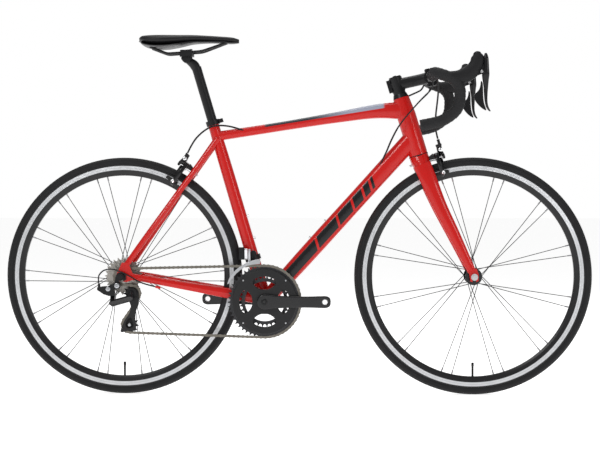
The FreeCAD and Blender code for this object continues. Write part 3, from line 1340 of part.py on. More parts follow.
def oblong(place, start, end, radius, z_from, z_to):
    """A plate with two round ends in a place's own x and y."""
    along = unit(Vector(end[0] - start[0], end[1] - start[1], 0))
    side_x, side_y = -along.y * radius, along.x * radius
    corners = [(start[0] + side_x, start[1] + side_y), (end[0] + side_x, end[1] + side_y),
               (end[0] - side_x, end[1] - side_y), (start[0] - side_x, start[1] - side_y)]
    ends = [place.rod((x, y, z_from), (x, y, z_to), radius) for x, y in (start, end)]
    return fused([place.plate(corners, z_from, z_to)] + ends)


def pins(places, z_to):
    return [rear_shift.rod((x, y, LINK_LOW + 0.2), (x, y, z_to), PIVOT_RADIUS) for x, y in places]


def pin_bores(places):
    return [rear_shift.rod((x, y, LINK_LOW), (x, y, LINK_HIGH + 1), PIVOT_RADIUS + gap) for x, y in places]


def make_shift_links():
    """The two links, the outer one under a broad cover."""
    for label, index in (("rd_outer_link", 0), ("rd_inner_link", 1)):
        start, end = FIXED_PINS[index], MOVING_PINS[index]
        link = oblong(rear_shift, start, end, 4.6, LINK_LOW, LINK_HIGH)
        link = link.cut(fused(pin_bores((start, end))))
        if label == "rd_outer_link":
            link = link.fuse(oblong(rear_shift, start, end, 8.5, LINK_LOW - 3, LINK_LOW))
        add_shape(label, [link])


def make_shift_bracket():
    """The derailleur's fixed part: mounting bolt, arm, barrel adjuster and the two fixed pins."""
    outer = -rear_tip_outside - size("hanger_thickness") - 0.2
    arm = arm_plate(HANGER_BOLT, 9.0, side_view(-530, 303), 8.0, outer - 6, outer)
    outline = [(-539, 310), (-523, 310), (-513, 296), (-511, 283), (-528, 283), (-543, 288), (-561, 300),
               (-561, 307), (-550, 309)]
    body = side_plate(outline, outer - 6, -66.0)
    block = oblong(rear_shift, FIXED_PINS[0], FIXED_PINS[1], 6.5, LINK_HIGH + 0.5, 16.0)
    bolt = cross_rod(HANGER_BOLT.x, HANGER_BOLT.z, outer - 9, -rear_tip_outside, 4.45)
    head = cross_rod(HANGER_BOLT.x, HANGER_BOLT.z, outer - 9, outer - 5, 6.5)
    screw = cross_rod(-530, 303, outer - 9, outer - 5, 6.0)
    barrel = rod(side_view(-555.7, 304, -79), side_view(-556.6, 318, -79), 3.5)
    add_shape("rd_bracket", [fused([arm, body, block, bolt, head, screw, barrel] + pins(FIXED_PINS, 0.0))])


def make_knuckle():
    lug = oblong(rear_shift, MOVING_PINS[0], MOVING_PINS[1], 6.0, LINK_HIGH + 0.5, 4.0)
    barrel = cross_rod(guide.x, guide.z, -76.0, -64.8, 15.0)
    bore = cross_rod(guide.x, guide.z, -75.0, -64.0, 6.0 + gap)
    add_shape("rd_knuckle", [fused([lug, barrel] + pins(MOVING_PINS, 0.0)).cut(bore)])


def make_cage():
    """Both cage plates, the stub that turns in the knuckle and the two pulley bolts."""
    x, z = guide.x, guide.z
    tail = [(tension.x + 18, tension.z - 22), (tension.x + 17, tension.z + 6), (x + 15, z - 72),
            (x + 9, z - 62), (x + 14, z - 54), (x + 23, z - 28)]
    head = [(x + 19, z + 5), (x + 8, z + 17), (x - 8, z + 17), (x - 18, z + 3), (x - 13, z - 14),
            (x + 1, z - 26)]
    back = [(x + 2, z - 55), (x - 2, z - 69), (tension.x - 11, tension.z + 13),
            (tension.x - 26, tension.z - 20), (tension.x - 21, tension.z - 27)]
    outer = side_plate(tail + head + back, -64.5, -62.8)
    slim = [(x + 7, z - 4), (x + 4, z + 7), (x - 4, z + 7), (x - 7, z - 4)]
    inner = side_plate(tail[:4] + [(x + 11, z - 40)] + slim + [(x - 2, z - 40)] + back, -51.6, -50.5)
    bolts = [cross_rod(place.x, place.z, -63.0, -51.0, 4.0) for place in (guide, tension)]
    stub = cross_rod(x, z, -74.7, -64.0, 6.0)
    head = cross_rod(tension.x, tension.z, -66.0, -64.0, 6.0)
    add_shape("rd_cage", [fused([outer, inner, stub, head] + bolts)])


make_shift_links()
make_shift_bracket()
make_knuckle()
make_cage()


# ---------------------------------------------------------------- front derailleur

FRONT_FIXED_PIN, FRONT_MOVING_PIN = (-38.0, 388.0), (-46.0, 411.0)       # their y and z
front_shift = Local(Vector(0, 0, 0), Vector(1, 0, 0), Vector(0, 1, 0))


def make_front_bracket():
    """A band round the seat tube with a block beside it that carries the fixed pin."""
    ring_place = Local(along_seat(133), seat_up.cross(Vector(0, 1, 0)), Vector(0, 1, 0))
    ring = ring_place.rod((0, 0, 0), (0, 0, 14), 22.6).cut(ring_place.rod((0, 0, -1), (0, 0, 15), 19.8))
    arm = front_shift.box((-162, -128), (-27, -20.2), (388, 402))
    block = front_shift.box((-166, -150.5), (-43, -20), (383.5, 418))
    pin = rod(Vector(-151, *FRONT_FIXED_PIN), Vector(-140.5, *FRONT_FIXED_PIN), 2.0)
    bolt = cross_rod(-123, 403, -31.0, -21.0, 4.5)
    bolt_pad = cross_rod(-126, 400, -27.0, -19.0, 9.0)
    hollow = ring_place.rod((0, 0, -8), (0, 0, 22), 19.8)
    add_shape("fd_bracket", [fused([ring, arm, block, pin, bolt, bolt_pad]).cut(hollow)])


def make_front_link():
    outline = [Vector(-149.5, *FRONT_FIXED_PIN), Vector(-149.5, *FRONT_MOVING_PIN)]
    ends = [rod(place, place + Vector(8, 0, 0), 4.5) for place in outline]
    along = unit(outline[1] - outline[0])
    side = Vector(0, -along.z, along.y) * 4.5
    corners = [outline[0] + side, outline[1] + side, outline[1] - side, outline[0] - side]
    web = polygon_face(corners).extrude(Vector(8, 0, 0))
    bores = [rod(place - Vector(1, 0, 0), place + Vector(10, 0, 0), 2.0 + gap) for place in outline]
    add_shape("fd_link", [fused([web] + ends).cut(fused(bores))])


def ring_piece(inner, outer, first_angle, last_angle, y_from, y_to):
    """Part of a flat ring round the bottom bracket, between two angles in degrees."""
    steps = 12
    angles = [first_angle + (last_angle - first_angle) * step / steps for step in range(steps + 1)]
    points = [around_bracket(outer, angle) for angle in angles]
    points += [around_bracket(inner, angle) for angle in reversed(angles)]
    return side_plate([(point.x, point.z) for point in points], y_from, y_to)


def make_front_cage():
    outer = ring_piece(108.0, 126.0, 97.0, 155.0, -54.5, -53.0)
    inner = ring_piece(108.0, 125.0, 97.0, 155.0, -41.5, -40.0)
    tail = ring_piece(110.0, 123.0, 152.0, 155.0, -54.0, -41.0)
    top = ring_piece(122.0, 126.0, 101.0, 118.0, -54.0, -41.0)
    lug = front_shift.box((-140.5, -134), (-50, -41), (378, 416))
    pin = rod(Vector(-149.3, *FRONT_MOVING_PIN), Vector(-140, *FRONT_MOVING_PIN), 2.0)
    add_shape("fd_cage", [fused([outer, inner, tail, top, lug, pin])])


make_front_bracket()
make_front_link()
make_front_cage()

def check_and_write():
    """Stop if anything failed, then write each sub-part to its own file."""
    doc.recompute()
    for item in doc.Objects:
        if "Invalid" in item.State or "Error" in item.State:
            raise RuntimeError(f"{item.Label} failed: {item.State}")
    for item in sub_parts:
        if item.Shape.isNull() or not item.Shape.isValid() or not item.Shape.Solids:
            raise RuntimeError(f"{item.Label} has no valid solid")
    for item in sub_parts:
        item.Shape.exportStep(f"parts/{item.Label}.step")
    print(f"{len(sub_parts)} sub-parts written")


check_and_write()
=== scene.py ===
"""Road bicycle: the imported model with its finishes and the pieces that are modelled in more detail."""
import math
import bmesh
import bpy
from mathutils import Matrix, Vector


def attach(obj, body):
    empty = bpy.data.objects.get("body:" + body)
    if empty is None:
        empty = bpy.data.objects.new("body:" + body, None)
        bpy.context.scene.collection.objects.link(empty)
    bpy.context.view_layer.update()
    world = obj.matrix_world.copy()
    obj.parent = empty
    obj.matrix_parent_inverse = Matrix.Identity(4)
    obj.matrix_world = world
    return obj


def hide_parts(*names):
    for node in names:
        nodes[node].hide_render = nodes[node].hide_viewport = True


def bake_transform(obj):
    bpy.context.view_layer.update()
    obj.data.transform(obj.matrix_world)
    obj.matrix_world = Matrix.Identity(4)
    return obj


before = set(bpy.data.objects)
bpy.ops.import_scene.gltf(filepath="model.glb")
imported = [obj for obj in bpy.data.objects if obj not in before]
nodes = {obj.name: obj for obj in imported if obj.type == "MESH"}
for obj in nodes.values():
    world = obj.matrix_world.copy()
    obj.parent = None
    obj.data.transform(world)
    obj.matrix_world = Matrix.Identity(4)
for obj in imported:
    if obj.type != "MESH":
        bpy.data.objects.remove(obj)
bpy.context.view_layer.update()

MM = 0.001

# ---------------------------------------------------------------- places, in millimetres

HEAD_BOTTOM = Vector((341.01, 0, 677.91))
STEER_UP = Vector((-0.29237, 0, 0.95630))
STEER_AHEAD = Vector((0.95630, 0, 0.29237))
BRACKET = Vector((-93, 0, 266))
FRONT_AXLE, REAR_AXLE = Vector((495, 0, 336)), Vector((-495, 0, 336))


# ---------------------------------------------------------------- node helpers

class Shader:
    """One material's node tree, with short names for the nodes it is made of."""

    def __init__(self, name):
        self.material = bpy.data.materials.new(name)
        self.material.use_nodes = True
        self.tree = self.material.node_tree
        self.surface = self.tree.nodes["Principled BSDF"]
        self.place = self.node("ShaderNodeTexCoord").outputs["Object"]

    def node(self, kind, **settings):
        made = self.tree.nodes.new(kind)
        for key, value in settings.items():
            setattr(made, key, value)
        return made

    def link(self, value, socket):
        if isinstance(value, bpy.types.NodeSocket):
            self.tree.links.new(value, socket)
        else:
            socket.default_value = value

    def math(self, operation, *values, clamp=False):
        made = self.node("ShaderNodeMath", operation=operation, use_clamp=clamp)
        for value, socket in zip(values, made.inputs):
            self.link(value, socket)
        return made.outputs[0]

    def axes(self):
        made = self.node("ShaderNodeSeparateXYZ")
        self.link(self.place, made.inputs[0])
        return made.outputs

    def steps(self, value, low, high):
        """0 below low, 1 above high."""
        made = self.node("ShaderNodeMapRange", interpolation_type="SMOOTHSTEP")
        self.link(value, made.inputs["Value"])
        made.inputs["From Min"].default_value = low
        made.inputs["From Max"].default_value = high
        return made.outputs["Result"]

    def band(self, value, low, high, soft=0.0006):
        """1 between low and high, 0 outside them."""
        rising = self.steps(value, low - soft, low + soft)
        falling = self.steps(value, high - soft, high + soft)
        return self.math("SUBTRACT", rising, falling, clamp=True)

    def mix(self, share, first, second):
        made = self.node("ShaderNodeMix", data_type="RGBA")
        self.link(share, made.inputs[0])
        for value, socket in ((first, made.inputs[6]), (second, made.inputs[7])):
            if isinstance(value, tuple):
                value = (*value, 1.0)
            self.link(value, socket)
        return made.outputs[2]

    def noise(self, scale, detail=3.0):
        made = self.node("ShaderNodeTexNoise")
        self.link(self.place, made.inputs["Vector"])
        made.inputs["Scale"].default_value = scale
        made.inputs["Detail"].default_value = detail
        made.inputs["Roughness"].default_value = 0.55
        return made.outputs["Fac"]

    def cells(self, scale):
        made = self.node("ShaderNodeTexVoronoi", feature="F1")
        self.link(self.place, made.inputs["Vector"])
        made.inputs["Scale"].default_value = scale
        return made.outputs["Distance"]

    def bump(self, height, distance):
        """Raises the surface, on top of any bump that is there already."""
        made = self.node("ShaderNodeBump")
        self.link(height, made.inputs["Height"])
        made.inputs["Distance"].default_value = distance
        made.inputs["Strength"].default_value = 1.0
        if self.surface.inputs["Normal"].is_linked:
            before = self.surface.inputs["Normal"].links[0].from_socket
            self.link(before, made.inputs["Normal"])
        self.link(made.outputs[0], self.surface.inputs["Normal"])

    def vary(self, colour, amount, scale):
        """The colour with faint darker and lighter patches."""
        darker = tuple(channel * (1 - amount) for channel in colour)
        lighter = tuple(min(channel * (1 + amount), 1.0) for channel in colour)
        return self.mix(self.noise(scale), darker, lighter)

    def roughness(self, low, high, scale=60.0):
        made = self.node("ShaderNodeMapRange")
        self.link(self.noise(scale, 4.0), made.inputs["Value"])
        made.inputs["To Min"].default_value = low
        made.inputs["To Max"].default_value = high
        self.link(made.outputs["Result"], self.surface.inputs["Roughness"])

    def finish(self, colour, metallic=0.0, coat=0.0, specular=0.5):
        self.link(colour, self.surface.inputs["Base Color"])
        self.surface.inputs["Metallic"].default_value = metallic
        self.surface.inputs["Coat Weight"].default_value = coat
        self.surface.inputs["Coat Roughness"].default_value = 0.05
        self.surface.inputs["Specular IOR Level"].default_value = specular
        return self.material


def distance_from(shader, centre):
    """How far a point is from an axle that runs along Y, in metres."""
    x, _, z = shader.axes()
    across = shader.math("SUBTRACT", x, centre.x * MM)
    above = shader.math("SUBTRACT", z, centre.z * MM)
    squares = [shader.math("MULTIPLY", leg, leg) for leg in (across, above)]
    return shader.math("SQRT", shader.math("ADD", *squares))


def angle_about(shader, centre):
    """A point's angle round an axle that runs along Y."""
    x, _, z = shader.axes()
    above = shader.math("SUBTRACT", z, centre.z * MM)
    return shader.math("ARCTAN2", above, shader.math("SUBTRACT", x, centre.x * MM))


# ---------------------------------------------------------------- finishes

RED, INK = (0.56, 0.008, 0.006), (0.006, 0.006, 0.007)
STRIPE_REAR, STRIPE_FRONT = (0.020, 0.024, 0.032), (0.34, 0.36, 0.45)
# where each block on the down tube starts and ends, in metres from the bottom bracket
DOWN_TUBE_BLOCKS = ((0.095, 0.215), (0.223, 0.303), (0.311, 0.365), (0.373, 0.409), (0.417, 0.439),
                    (0.447, 0.457))


def paint():
    """Gloss red over the frame, with the dark top stripe and plain slanted blocks as graphics."""
    s = Shader("gloss_red_paint")
    x, y, z = s.axes()
    red = s.vary(RED, 0.05, 9.0)
    # a stripe along the top of the top tube, dark at the back and pale at the front
    line = s.math("ADD", s.math("MULTIPLY", x, 0.1583), 0.768)
    above = s.math("SUBTRACT", z, line)
    stripe = s.math("MULTIPLY", s.steps(above, 0.0042, 0.0052), s.band(x, -0.094, 0.243, 0.004))
    stripe = s.math("MULTIPLY", stripe, s.steps(z, 0.72, 0.73))
    # blocks along the down tube: how far along it and how far across it
    along = s.math("ADD", s.math("MULTIPLY", s.math("SUBTRACT", x, -0.093), 0.6715),
                   s.math("MULTIPLY", s.math("SUBTRACT", z, 0.266), 0.7410))
    across = s.math("ADD", s.math("MULTIPLY", s.math("SUBTRACT", x, -0.093), -0.7410),
                    s.math("MULTIPLY", s.math("SUBTRACT", z, 0.266), 0.6715))
    slanted = s.math("SUBTRACT", along, s.math("MULTIPLY", across, 0.6))
    height = s.band(across, -0.0145, 0.0145)
    blocks = 0.0
    for low, high in DOWN_TUBE_BLOCKS:
        blocks = s.math("ADD", blocks, s.band(slanted, low, high))
    blocks = s.math("MULTIPLY", blocks, height)
    sides = s.math("GREATER_THAN", s.math("ABSOLUTE", y), 0.012)
    blocks = s.math("MULTIPLY", blocks, sides, clamp=True)
    shade = s.mix(s.steps(x, 0.02, 0.16), STRIPE_REAR, STRIPE_FRONT)
    colour = s.mix(stripe, red, shade)
    colour = s.mix(blocks, colour, INK)
    s.bump(s.noise(420.0, 2.0), 0.00004)
    s.roughness(0.22, 0.30, 30.0)
    return s.finish(colour, coat=0.4, specular=0.18)


def plain(name, colour, low, high, grain=500.0, depth=0.00003, patch=0.12, **finish):
    """One colour with a fine grain, faint patches and a roughness from low to high."""
    s = Shader(name)
    s.bump(s.noise(grain, 3.0), depth)
    s.roughness(low, high)
    return s.finish(s.vary(colour, patch, 70.0), **finish)


def lathe_rings(s, radius, per_metre):
    return s.math("SINE", s.math("MULTIPLY", radius, per_metre * 2 * math.pi))


def turned_metal(name, centre, colour, low, high):
    """Metal with fine lathe rings round an axle."""
    s = Shader(name)
    s.bump(lathe_rings(s, distance_from(s, centre), 900.0), 0.00003)
    s.roughness(low, high, 90.0)
    return s.finish(s.vary(colour, 0.15, 50.0), metallic=1.0)


def tyre(name, centre):
    """Rubber with a file tread on its crown, darker in the tread's cuts as painted shade, and a faint mould
    line on its sides.
    """
    s = Shader(name)
    radius = distance_from(s, centre)
    angle = angle_about(s, centre)
    _, y, _ = s.axes()
    side = s.math("ABSOLUTE", y)
    crown = s.steps(radius, 0.3285, 0.3305)
    slanted = s.math("ADD", s.math("MULTIPLY", angle, 190.0), s.math("MULTIPLY", side, 1500.0))
    groove_bump_and_shade = s.steps(s.math("SINE", slanted), 0.55, 0.85)
    groove_bump_and_shade = s.math("MULTIPLY", groove_bump_and_shade, s.math("MULTIPLY", crown, s.band(side, 0.0028, 0.0098, 0.0006)))
    mould = s.math("ADD", s.band(radius, 0.3188, 0.3194, 0.0002), s.band(radius, 0.3275, 0.3279, 0.0002))
    s.bump(s.math("SUBTRACT", mould, groove_bump_and_shade), 0.0005)
    s.bump(s.noise(900.0, 2.0), 0.00006)
    dusty = s.mix(s.noise(26.0, 4.0), (0.008, 0.008, 0.009), (0.015, 0.015, 0.016))
    # painted shade: the tread cuts are coloured near black, darker than the rubber around them
    colour = s.mix(groove_bump_and_shade, s.mix(crown, dusty, (0.019, 0.019, 0.020)), (0.004, 0.004, 0.004))
    s.roughness(0.55, 0.75)
    return s.finish(colour, specular=0.25)


def rim(name, centre):
    """Black anodised rim with a machined silver brake track."""
    s = Shader(name)
    radius = distance_from(s, centre)
    _, y, _ = s.axes()
    track = s.math("MULTIPLY", s.band(radius, 0.3010, 0.3124, 0.0002),
                   s.math("GREATER_THAN", s.math("ABSOLUTE", y), 0.0088))
    s.bump(s.math("MULTIPLY", lathe_rings(s, radius, 1400.0), track), 0.00004)
    silver = s.vary((0.66, 0.67, 0.69), 0.12, 35.0)
    wear = s.band(radius, 0.3062, 0.3066, 0.0002)
    silver = s.mix(s.math("MULTIPLY", wear, 0.6), silver, (0.10, 0.10, 0.11))
    s.link(s.mix(track, (0.34, 0.34, 0.34), (0.30, 0.30, 0.30)), s.surface.inputs["Roughness"])
    s.link(track, s.surface.inputs["Metallic"])
    colour = s.mix(track, s.vary((0.008, 0.008, 0.009), 0.2, 20.0), silver)
    s.link(colour, s.surface.inputs["Base Color"])
    s.surface.inputs["Specular IOR Level"].default_value = 0.4
    return s.material


def spokes(name, centre):
    """Dark spokes with bright nipples at the rim."""
    s = Shader(name)
    radius = distance_from(s, centre)
    nipple = s.steps(radius, 0.2715, 0.2720)
    colour = s.mix(nipple, s.vary((0.018, 0.018, 0.019), 0.2, 60.0), s.vary((0.30, 0.30, 0.31), 0.1, 60.0))
    s.bump(s.noise(700.0), 0.00002)
    s.roughness(0.22, 0.34)
    return s.finish(colour, metallic=1.0)


def tape():
    """Cork-like bar tape with fine pits, which are painted near black as painted shade."""
    s = Shader("bar_tape")
    pore_bump_and_shade = s.steps(s.cells(700.0), 0.10, 0.35)
    s.bump(pore_bump_and_shade, 0.00012)
    s.bump(s.noise(240.0, 4.0), 0.00015)
    s.roughness(0.6, 0.85)
    # painted shade: the pits are coloured near black, darker than the tape around them
    colour = s.mix(pore_bump_and_shade, (0.003, 0.003, 0.003), s.vary((0.016, 0.016, 0.017), 0.2, 60.0))
    return s.finish(colour, specular=0.28)


FINISH = {}


def make_finishes():
    FINISH["red"] = paint()
    FINISH["black"] = plain("black_anodised", (0.007, 0.007, 0.008), 0.28, 0.42, specular=0.3)
    FINISH["gloss_black"] = plain("gloss_black", (0.004, 0.004, 0.005), 0.12, 0.22, coat=0.35, specular=0.3)
    FINISH["resin"] = plain("moulded_resin", (0.008, 0.008, 0.009), 0.42, 0.6, grain=900.0, depth=0.00006,
                            specular=0.25)
    FINISH["rubber"] = plain("hood_rubber", (0.009, 0.009, 0.010), 0.5, 0.7, grain=1400.0, depth=0.0001,
                             specular=0.25)
    FINISH["housing"] = plain("cable_housing", (0.006, 0.006, 0.007), 0.25, 0.35, specular=0.3)
    FINISH["satin_black"] = plain("satin_black_alloy", (0.010, 0.010, 0.011), 0.32, 0.45, specular=0.35)
    FINISH["skin"] = plain("saddle_skin", (0.007, 0.007, 0.008), 0.4, 0.55, grain=1100.0, depth=0.00012,
                           specular=0.3)
    FINISH["thread"] = plain("seam_thread", (0.05, 0.05, 0.052), 0.6, 0.8, grain=3000.0)
    FINISH["tape"] = tape()
    FINISH["silver"] = plain("polished_alloy", (0.72, 0.73, 0.75), 0.18, 0.32, metallic=1.0)
    FINISH["steel"] = plain("bright_steel", (0.60, 0.60, 0.61), 0.25, 0.4, metallic=1.0)
    FINISH["chrome"] = plain("chromed_bolt", (0.85, 0.85, 0.86), 0.06, 0.14, metallic=1.0)
    FINISH["chain"] = plain("chain_plate", (0.20, 0.185, 0.16), 0.3, 0.5, patch=0.35, metallic=1.0)
    FINISH["bright"] = plain("cage_silver", (0.50, 0.51, 0.53), 0.25, 0.4, metallic=1.0)
    FINISH["pads"] = plain("brake_pad", (0.03, 0.03, 0.03), 0.7, 0.9, specular=0.2)
    FINISH["cassette"] = turned_metal("cassette_steel", REAR_AXLE, (0.42, 0.40, 0.37), 0.22, 0.4)
    FINISH["ring"] = turned_metal("chainring_black", BRACKET, (0.055, 0.055, 0.058), 0.3, 0.45)
    for end, axle in (("front", FRONT_AXLE), ("rear", REAR_AXLE)):
        FINISH[end + "_tyre"] = tyre(end + "_tyre_rubber", axle)
        FINISH[end + "_rim"] = rim(end + "_rim_finish", axle)
        FINISH[end + "_spokes"] = spokes(end + "_spoke_steel", axle)


make_finishes()

NODE_FINISH = {
    "frame": "red", "fork": "red", "derailleur_hanger": "black", "seat_clamp": "black",
    "headset_bearings": "black", "bottom_bracket": "black", "frame_bolts": "chrome",
    "rear_axle": "black", "rear_cables": "housing",
    "chain": "chain", "fd_bracket": "black", "rd_bracket": "black", "headset_top": "black", "stem": "black",
    "stem_faceplate": "black", "handlebar": "black", "bar_tape": "resin", "lever_bodies": "resin",
    "lever_hoods": "rubber", "front_axle": "steel", "front_brake_bolt": "steel",
    "front_brake_cable": "housing", "steering_cables": "housing",
    "front_tyre": "front_tyre", "rear_tyre": "rear_tyre",
    "front_inner_tube": "rubber", "rear_inner_tube": "rubber", "front_rim": "front_rim",
    "rear_rim": "rear_rim", "front_spokes": "front_spokes", "rear_spokes": "rear_spokes",
    "front_hub": "gloss_black",
    "rear_hub": "gloss_black", "cassette": "cassette", "crank_arm_right": "gloss_black",
    "crank_arm_left": "gloss_black", "big_chainring": "ring", "small_chainring": "ring", "seatpost": "black",
    "saddle_clamp": "black", "saddle_cover": "resin", "saddle_rails": "black", "rd_outer_link": "gloss_black",
    "rd_inner_link": "black", "rd_knuckle": "black", "rd_cage": "black", "guide_pulley": "resin",
    "tension_pulley": "resin", "fd_link": "silver", "fd_cage": "silver", "front_brake_arm_left": "black",
    "front_brake_arm_right": "black", "rear_brake_arm_left": "black", "rear_brake_arm_right": "black",
    "brake_lever_left": "gloss_black", "brake_lever_right": "gloss_black", "shift_paddle_left": "gloss_black",
    "shift_paddle_right": "gloss_black", "front_qr_lever": "silver", "rear_qr_lever": "silver",
}


for name, finish in NODE_FINISH.items():
    nodes[name].data.materials.clear()
    nodes[name].data.materials.append(FINISH[finish])


# ---------------------------------------------------------------- shaping

def spread(rows, count):
    """A smooth run of count rows through all the rows given, evenly spaced along their length."""
    points = [Vector(row[:3]) for row in rows]
    marks = [0.0]
    for before, after in zip(points, points[1:]):
        marks.append(marks[-1] + max((after - before).length, 1e-6))
    slopes = []
    for index in range(len(rows)):
        first, last = max(index - 1, 0), min(index + 1, len(rows) - 1)
        run = marks[last] - marks[first]
        slopes.append([(b - a) / run for a, b in zip(rows[first], rows[last])])
    made = []
    piece = 0
    for step in range(count):
        mark = marks[-1] * step / (count - 1)
        while piece < len(rows) - 2 and mark > marks[piece + 1]:
            piece += 1
        run = marks[piece + 1] - marks[piece]
        t = min((mark - marks[piece]) / run, 1.0)
        weights = (2 * t ** 3 - 3 * t ** 2 + 1, 3 * t ** 2 - 2 * t ** 3, (t ** 3 - 2 * t ** 2 + t) * run,
                   (t ** 3 - t ** 2) * run)
        known = zip(rows[piece], rows[piece + 1], slopes[piece], slopes[piece + 1])
        made.append([sum(weight * value for weight, value in zip(weights, values)) for values in known])
    return made


def power(value, square):
    """A sine or cosine, changed so that a circle becomes squarer as square rises above 2."""
    return math.copysign(abs(value) ** (2.0 / square), value)


class Shape:
    """One mesh piece, gathered from swept, turned and cut-out shells in millimetres."""

    def __init__(self, name):
        self.name, self.vertices, self.faces = name, [], []

    def rings(self, rings, closed_ends=True):
        start, around = len(self.vertices), len(rings[0])
        for ring in rings:
            self.vertices += [tuple(point) for point in ring]
        for index in range(len(rings) - 1):
            for step in range(around):
                a, b = start + index * around + step, start + index * around + (step + 1) % around
                self.faces.append((a, b, b + around, a + around))
        if closed_ends:
            ends = ((rings[0], start, True), (rings[-1], len(self.vertices) - around, False))
            for ring, first, turned in ends:
                middle = sum((Vector(point) for point in ring), Vector()) / around
                centre = len(self.vertices)
                self.vertices.append(tuple(middle))
                for step in range(around):
                    a, b = first + step, first + (step + 1) % around
                    self.faces.append((b, a, centre) if turned else (a, b, centre))
        return self

    def sweep(self, rows, square=2.0, around=28, count=48, bulge=0.5, side=(0, 1, 0)):
        """An oval section along rows of (x, y, z, half height, half width), its ends rounded."""
        run = spread(rows, count) if count else rows
        points = [Vector(row[:3]) for row in run]
        side = Vector(side)
        rings = []
        for index, row in enumerate(run):
            along = (points[min(index + 1, len(run) - 1)] - points[max(index - 1, 0)]).normalized()
            side = (side - along * side.dot(along)).normalized()
            up = side.cross(along)
            rings.append((points[index], along, side, up, row[3], row[4]))
        first, last = rings[0], rings[-1]
        swell = [(math.cos(angle), math.sin(angle)) for angle in (0.45, 0.95, 1.35)]
        start = [(first[0] - first[1] * (bulge * min(first[4:]) * out), *first[1:4], first[4] * shrink,
                  first[5] * shrink) for shrink, out in reversed(swell)]
        end = [(last[0] + last[1] * (bulge * min(last[4:]) * out), *last[1:4], last[4] * shrink,
                last[5] * shrink) for shrink, out in swell]
        made = []
        for middle, _, across, up, high, wide in start + rings + end:
            made.append([middle + up * (power(math.cos(turn), square) * high)
                         + across * (power(math.sin(turn), square) * wide)
                         for turn in (2 * math.pi * step / around for step in range(around))])
        return self.rings(made)

    def turned(self, profile, centre, axis=(0, 1, 0), around=48):
        """A profile of (distance along the axis, radius) turned round it."""
        axis = Vector(axis).normalized()
        side = axis.orthogonal().normalized()
        up = axis.cross(side)
        made = []
        for along, radius in profile:
            made.append([Vector(centre) + axis * along + side * (radius * math.cos(turn))
                         + up * (radius * math.sin(turn))
                         for turn in (2 * math.pi * step / around for step in range(around))])
        return self.rings(made)

    def piece(self, body, finish, *replaced, slot=None, sharp=40.0, bevel=0.0):
        mesh = bpy.data.meshes.new(self.name)
        mesh.from_pydata([tuple(value * MM for value in point) for point in self.vertices], [], self.faces)
        shell = bmesh.new()
        shell.from_mesh(mesh)
        bmesh.ops.recalc_face_normals(shell, faces=shell.faces)
        shell.to_mesh(mesh)
        shell.free()
        mesh.shade_smooth()
        mesh.set_sharp_from_angle(angle=math.radians(sharp))
        made = bpy.data.objects.new(self.name, mesh)
        bpy.context.scene.collection.objects.link(made)
        mesh.materials.append(FINISH[finish])
        if bevel:
            edge = made.modifiers.new("edge", "BEVEL")
            edge.width, edge.segments = bevel * MM, 3
            edge.limit_method, edge.angle_limit = "ANGLE", math.radians(50)
        if body:
            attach(made, body)
        if replaced:
            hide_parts(*replaced)
        return made

    def plate(self, ring, near, far):
        """An outline of (x, z), as a flat piece between two Y places."""
        start, around = len(self.vertices), len(ring)
        for y in (near, far):
            self.vertices += [(point.x, y, point.y) for point in ring]
        self.faces.append(tuple(range(start, start + around)))
        self.faces.append(tuple(range(start + 2 * around - 1, start + around - 1, -1)))
        for step in range(around):
            a, b = start + step, start + (step + 1) % around
            self.faces.append((b, a, a + around, b + around))
        return self


def eased(outline, smooth=6):
    """A closed outline of (x, z) with smooth corners."""
    ring = []
    for index in range(len(outline)):
        before, a, b, after = (Vector(outline[(index + step) % len(outline)])
                               for step in (-1, 0, 1, 2))
        for step in range(smooth):
            t = step / smooth
            ring.append(0.5 * (2 * a + (b - before) * t + (2 * before - 5 * a + 4 * b - after) * t * t
                               + (3 * a - before - 3 * b + after) * t ** 3))
    return ring


def circle(centre, radius, around=48):
    return [Vector((centre[0] + radius * math.cos(2 * math.pi * step / around),
                    centre[1] + radius * math.sin(2 * math.pi * step / around))) for step in range(around)]


def cut_plate(name, outlines, near, far, bevel, body, finish, *replaced, slot=None):
    """A flat piece between two Y places, its edges rounded; the outlines after the first are holes."""
    curve = bpy.data.curves.new(name, "CURVE")
    curve.dimensions, curve.fill_mode = "2D", "BOTH"
    curve.extrude, curve.bevel_depth, curve.bevel_resolution = abs(far - near) / 2 - bevel, bevel, 3
    curve.offset = -bevel
    for outline in outlines:
        line = curve.splines.new("POLY")
        line.points.add(len(outline) - 1)
        line.use_cyclic_u = True
        for knot, point in zip(line.points, outline):
            knot.co = (point[0], point[1], 0, 1)
    guide = bpy.data.objects.new(name + "_outline", curve)
    bpy.context.scene.collection.objects.link(guide)
    bpy.context.view_layer.update()
    mesh = bpy.data.meshes.new_from_object(guide)
    bpy.data.objects.remove(guide)
    made = Shape(name)
    middle = (near + far) / 2
    made.vertices = [(vertex.co.x, middle + vertex.co.z, vertex.co.y) for vertex in mesh.vertices]
    made.faces = [tuple(face.vertices) for face in mesh.polygons]
    bpy.data.meshes.remove(mesh)
    return made.piece(body, finish, *replaced, slot=slot, sharp=50)


def mirror(rows):
    """The rows on the bicycle's other side."""
    return [(row[0], -row[1], *row[2:]) for row in rows]


SIDES = (("left", 1.0), ("right", -1.0))


# ---------------------------------------------------------------- housings

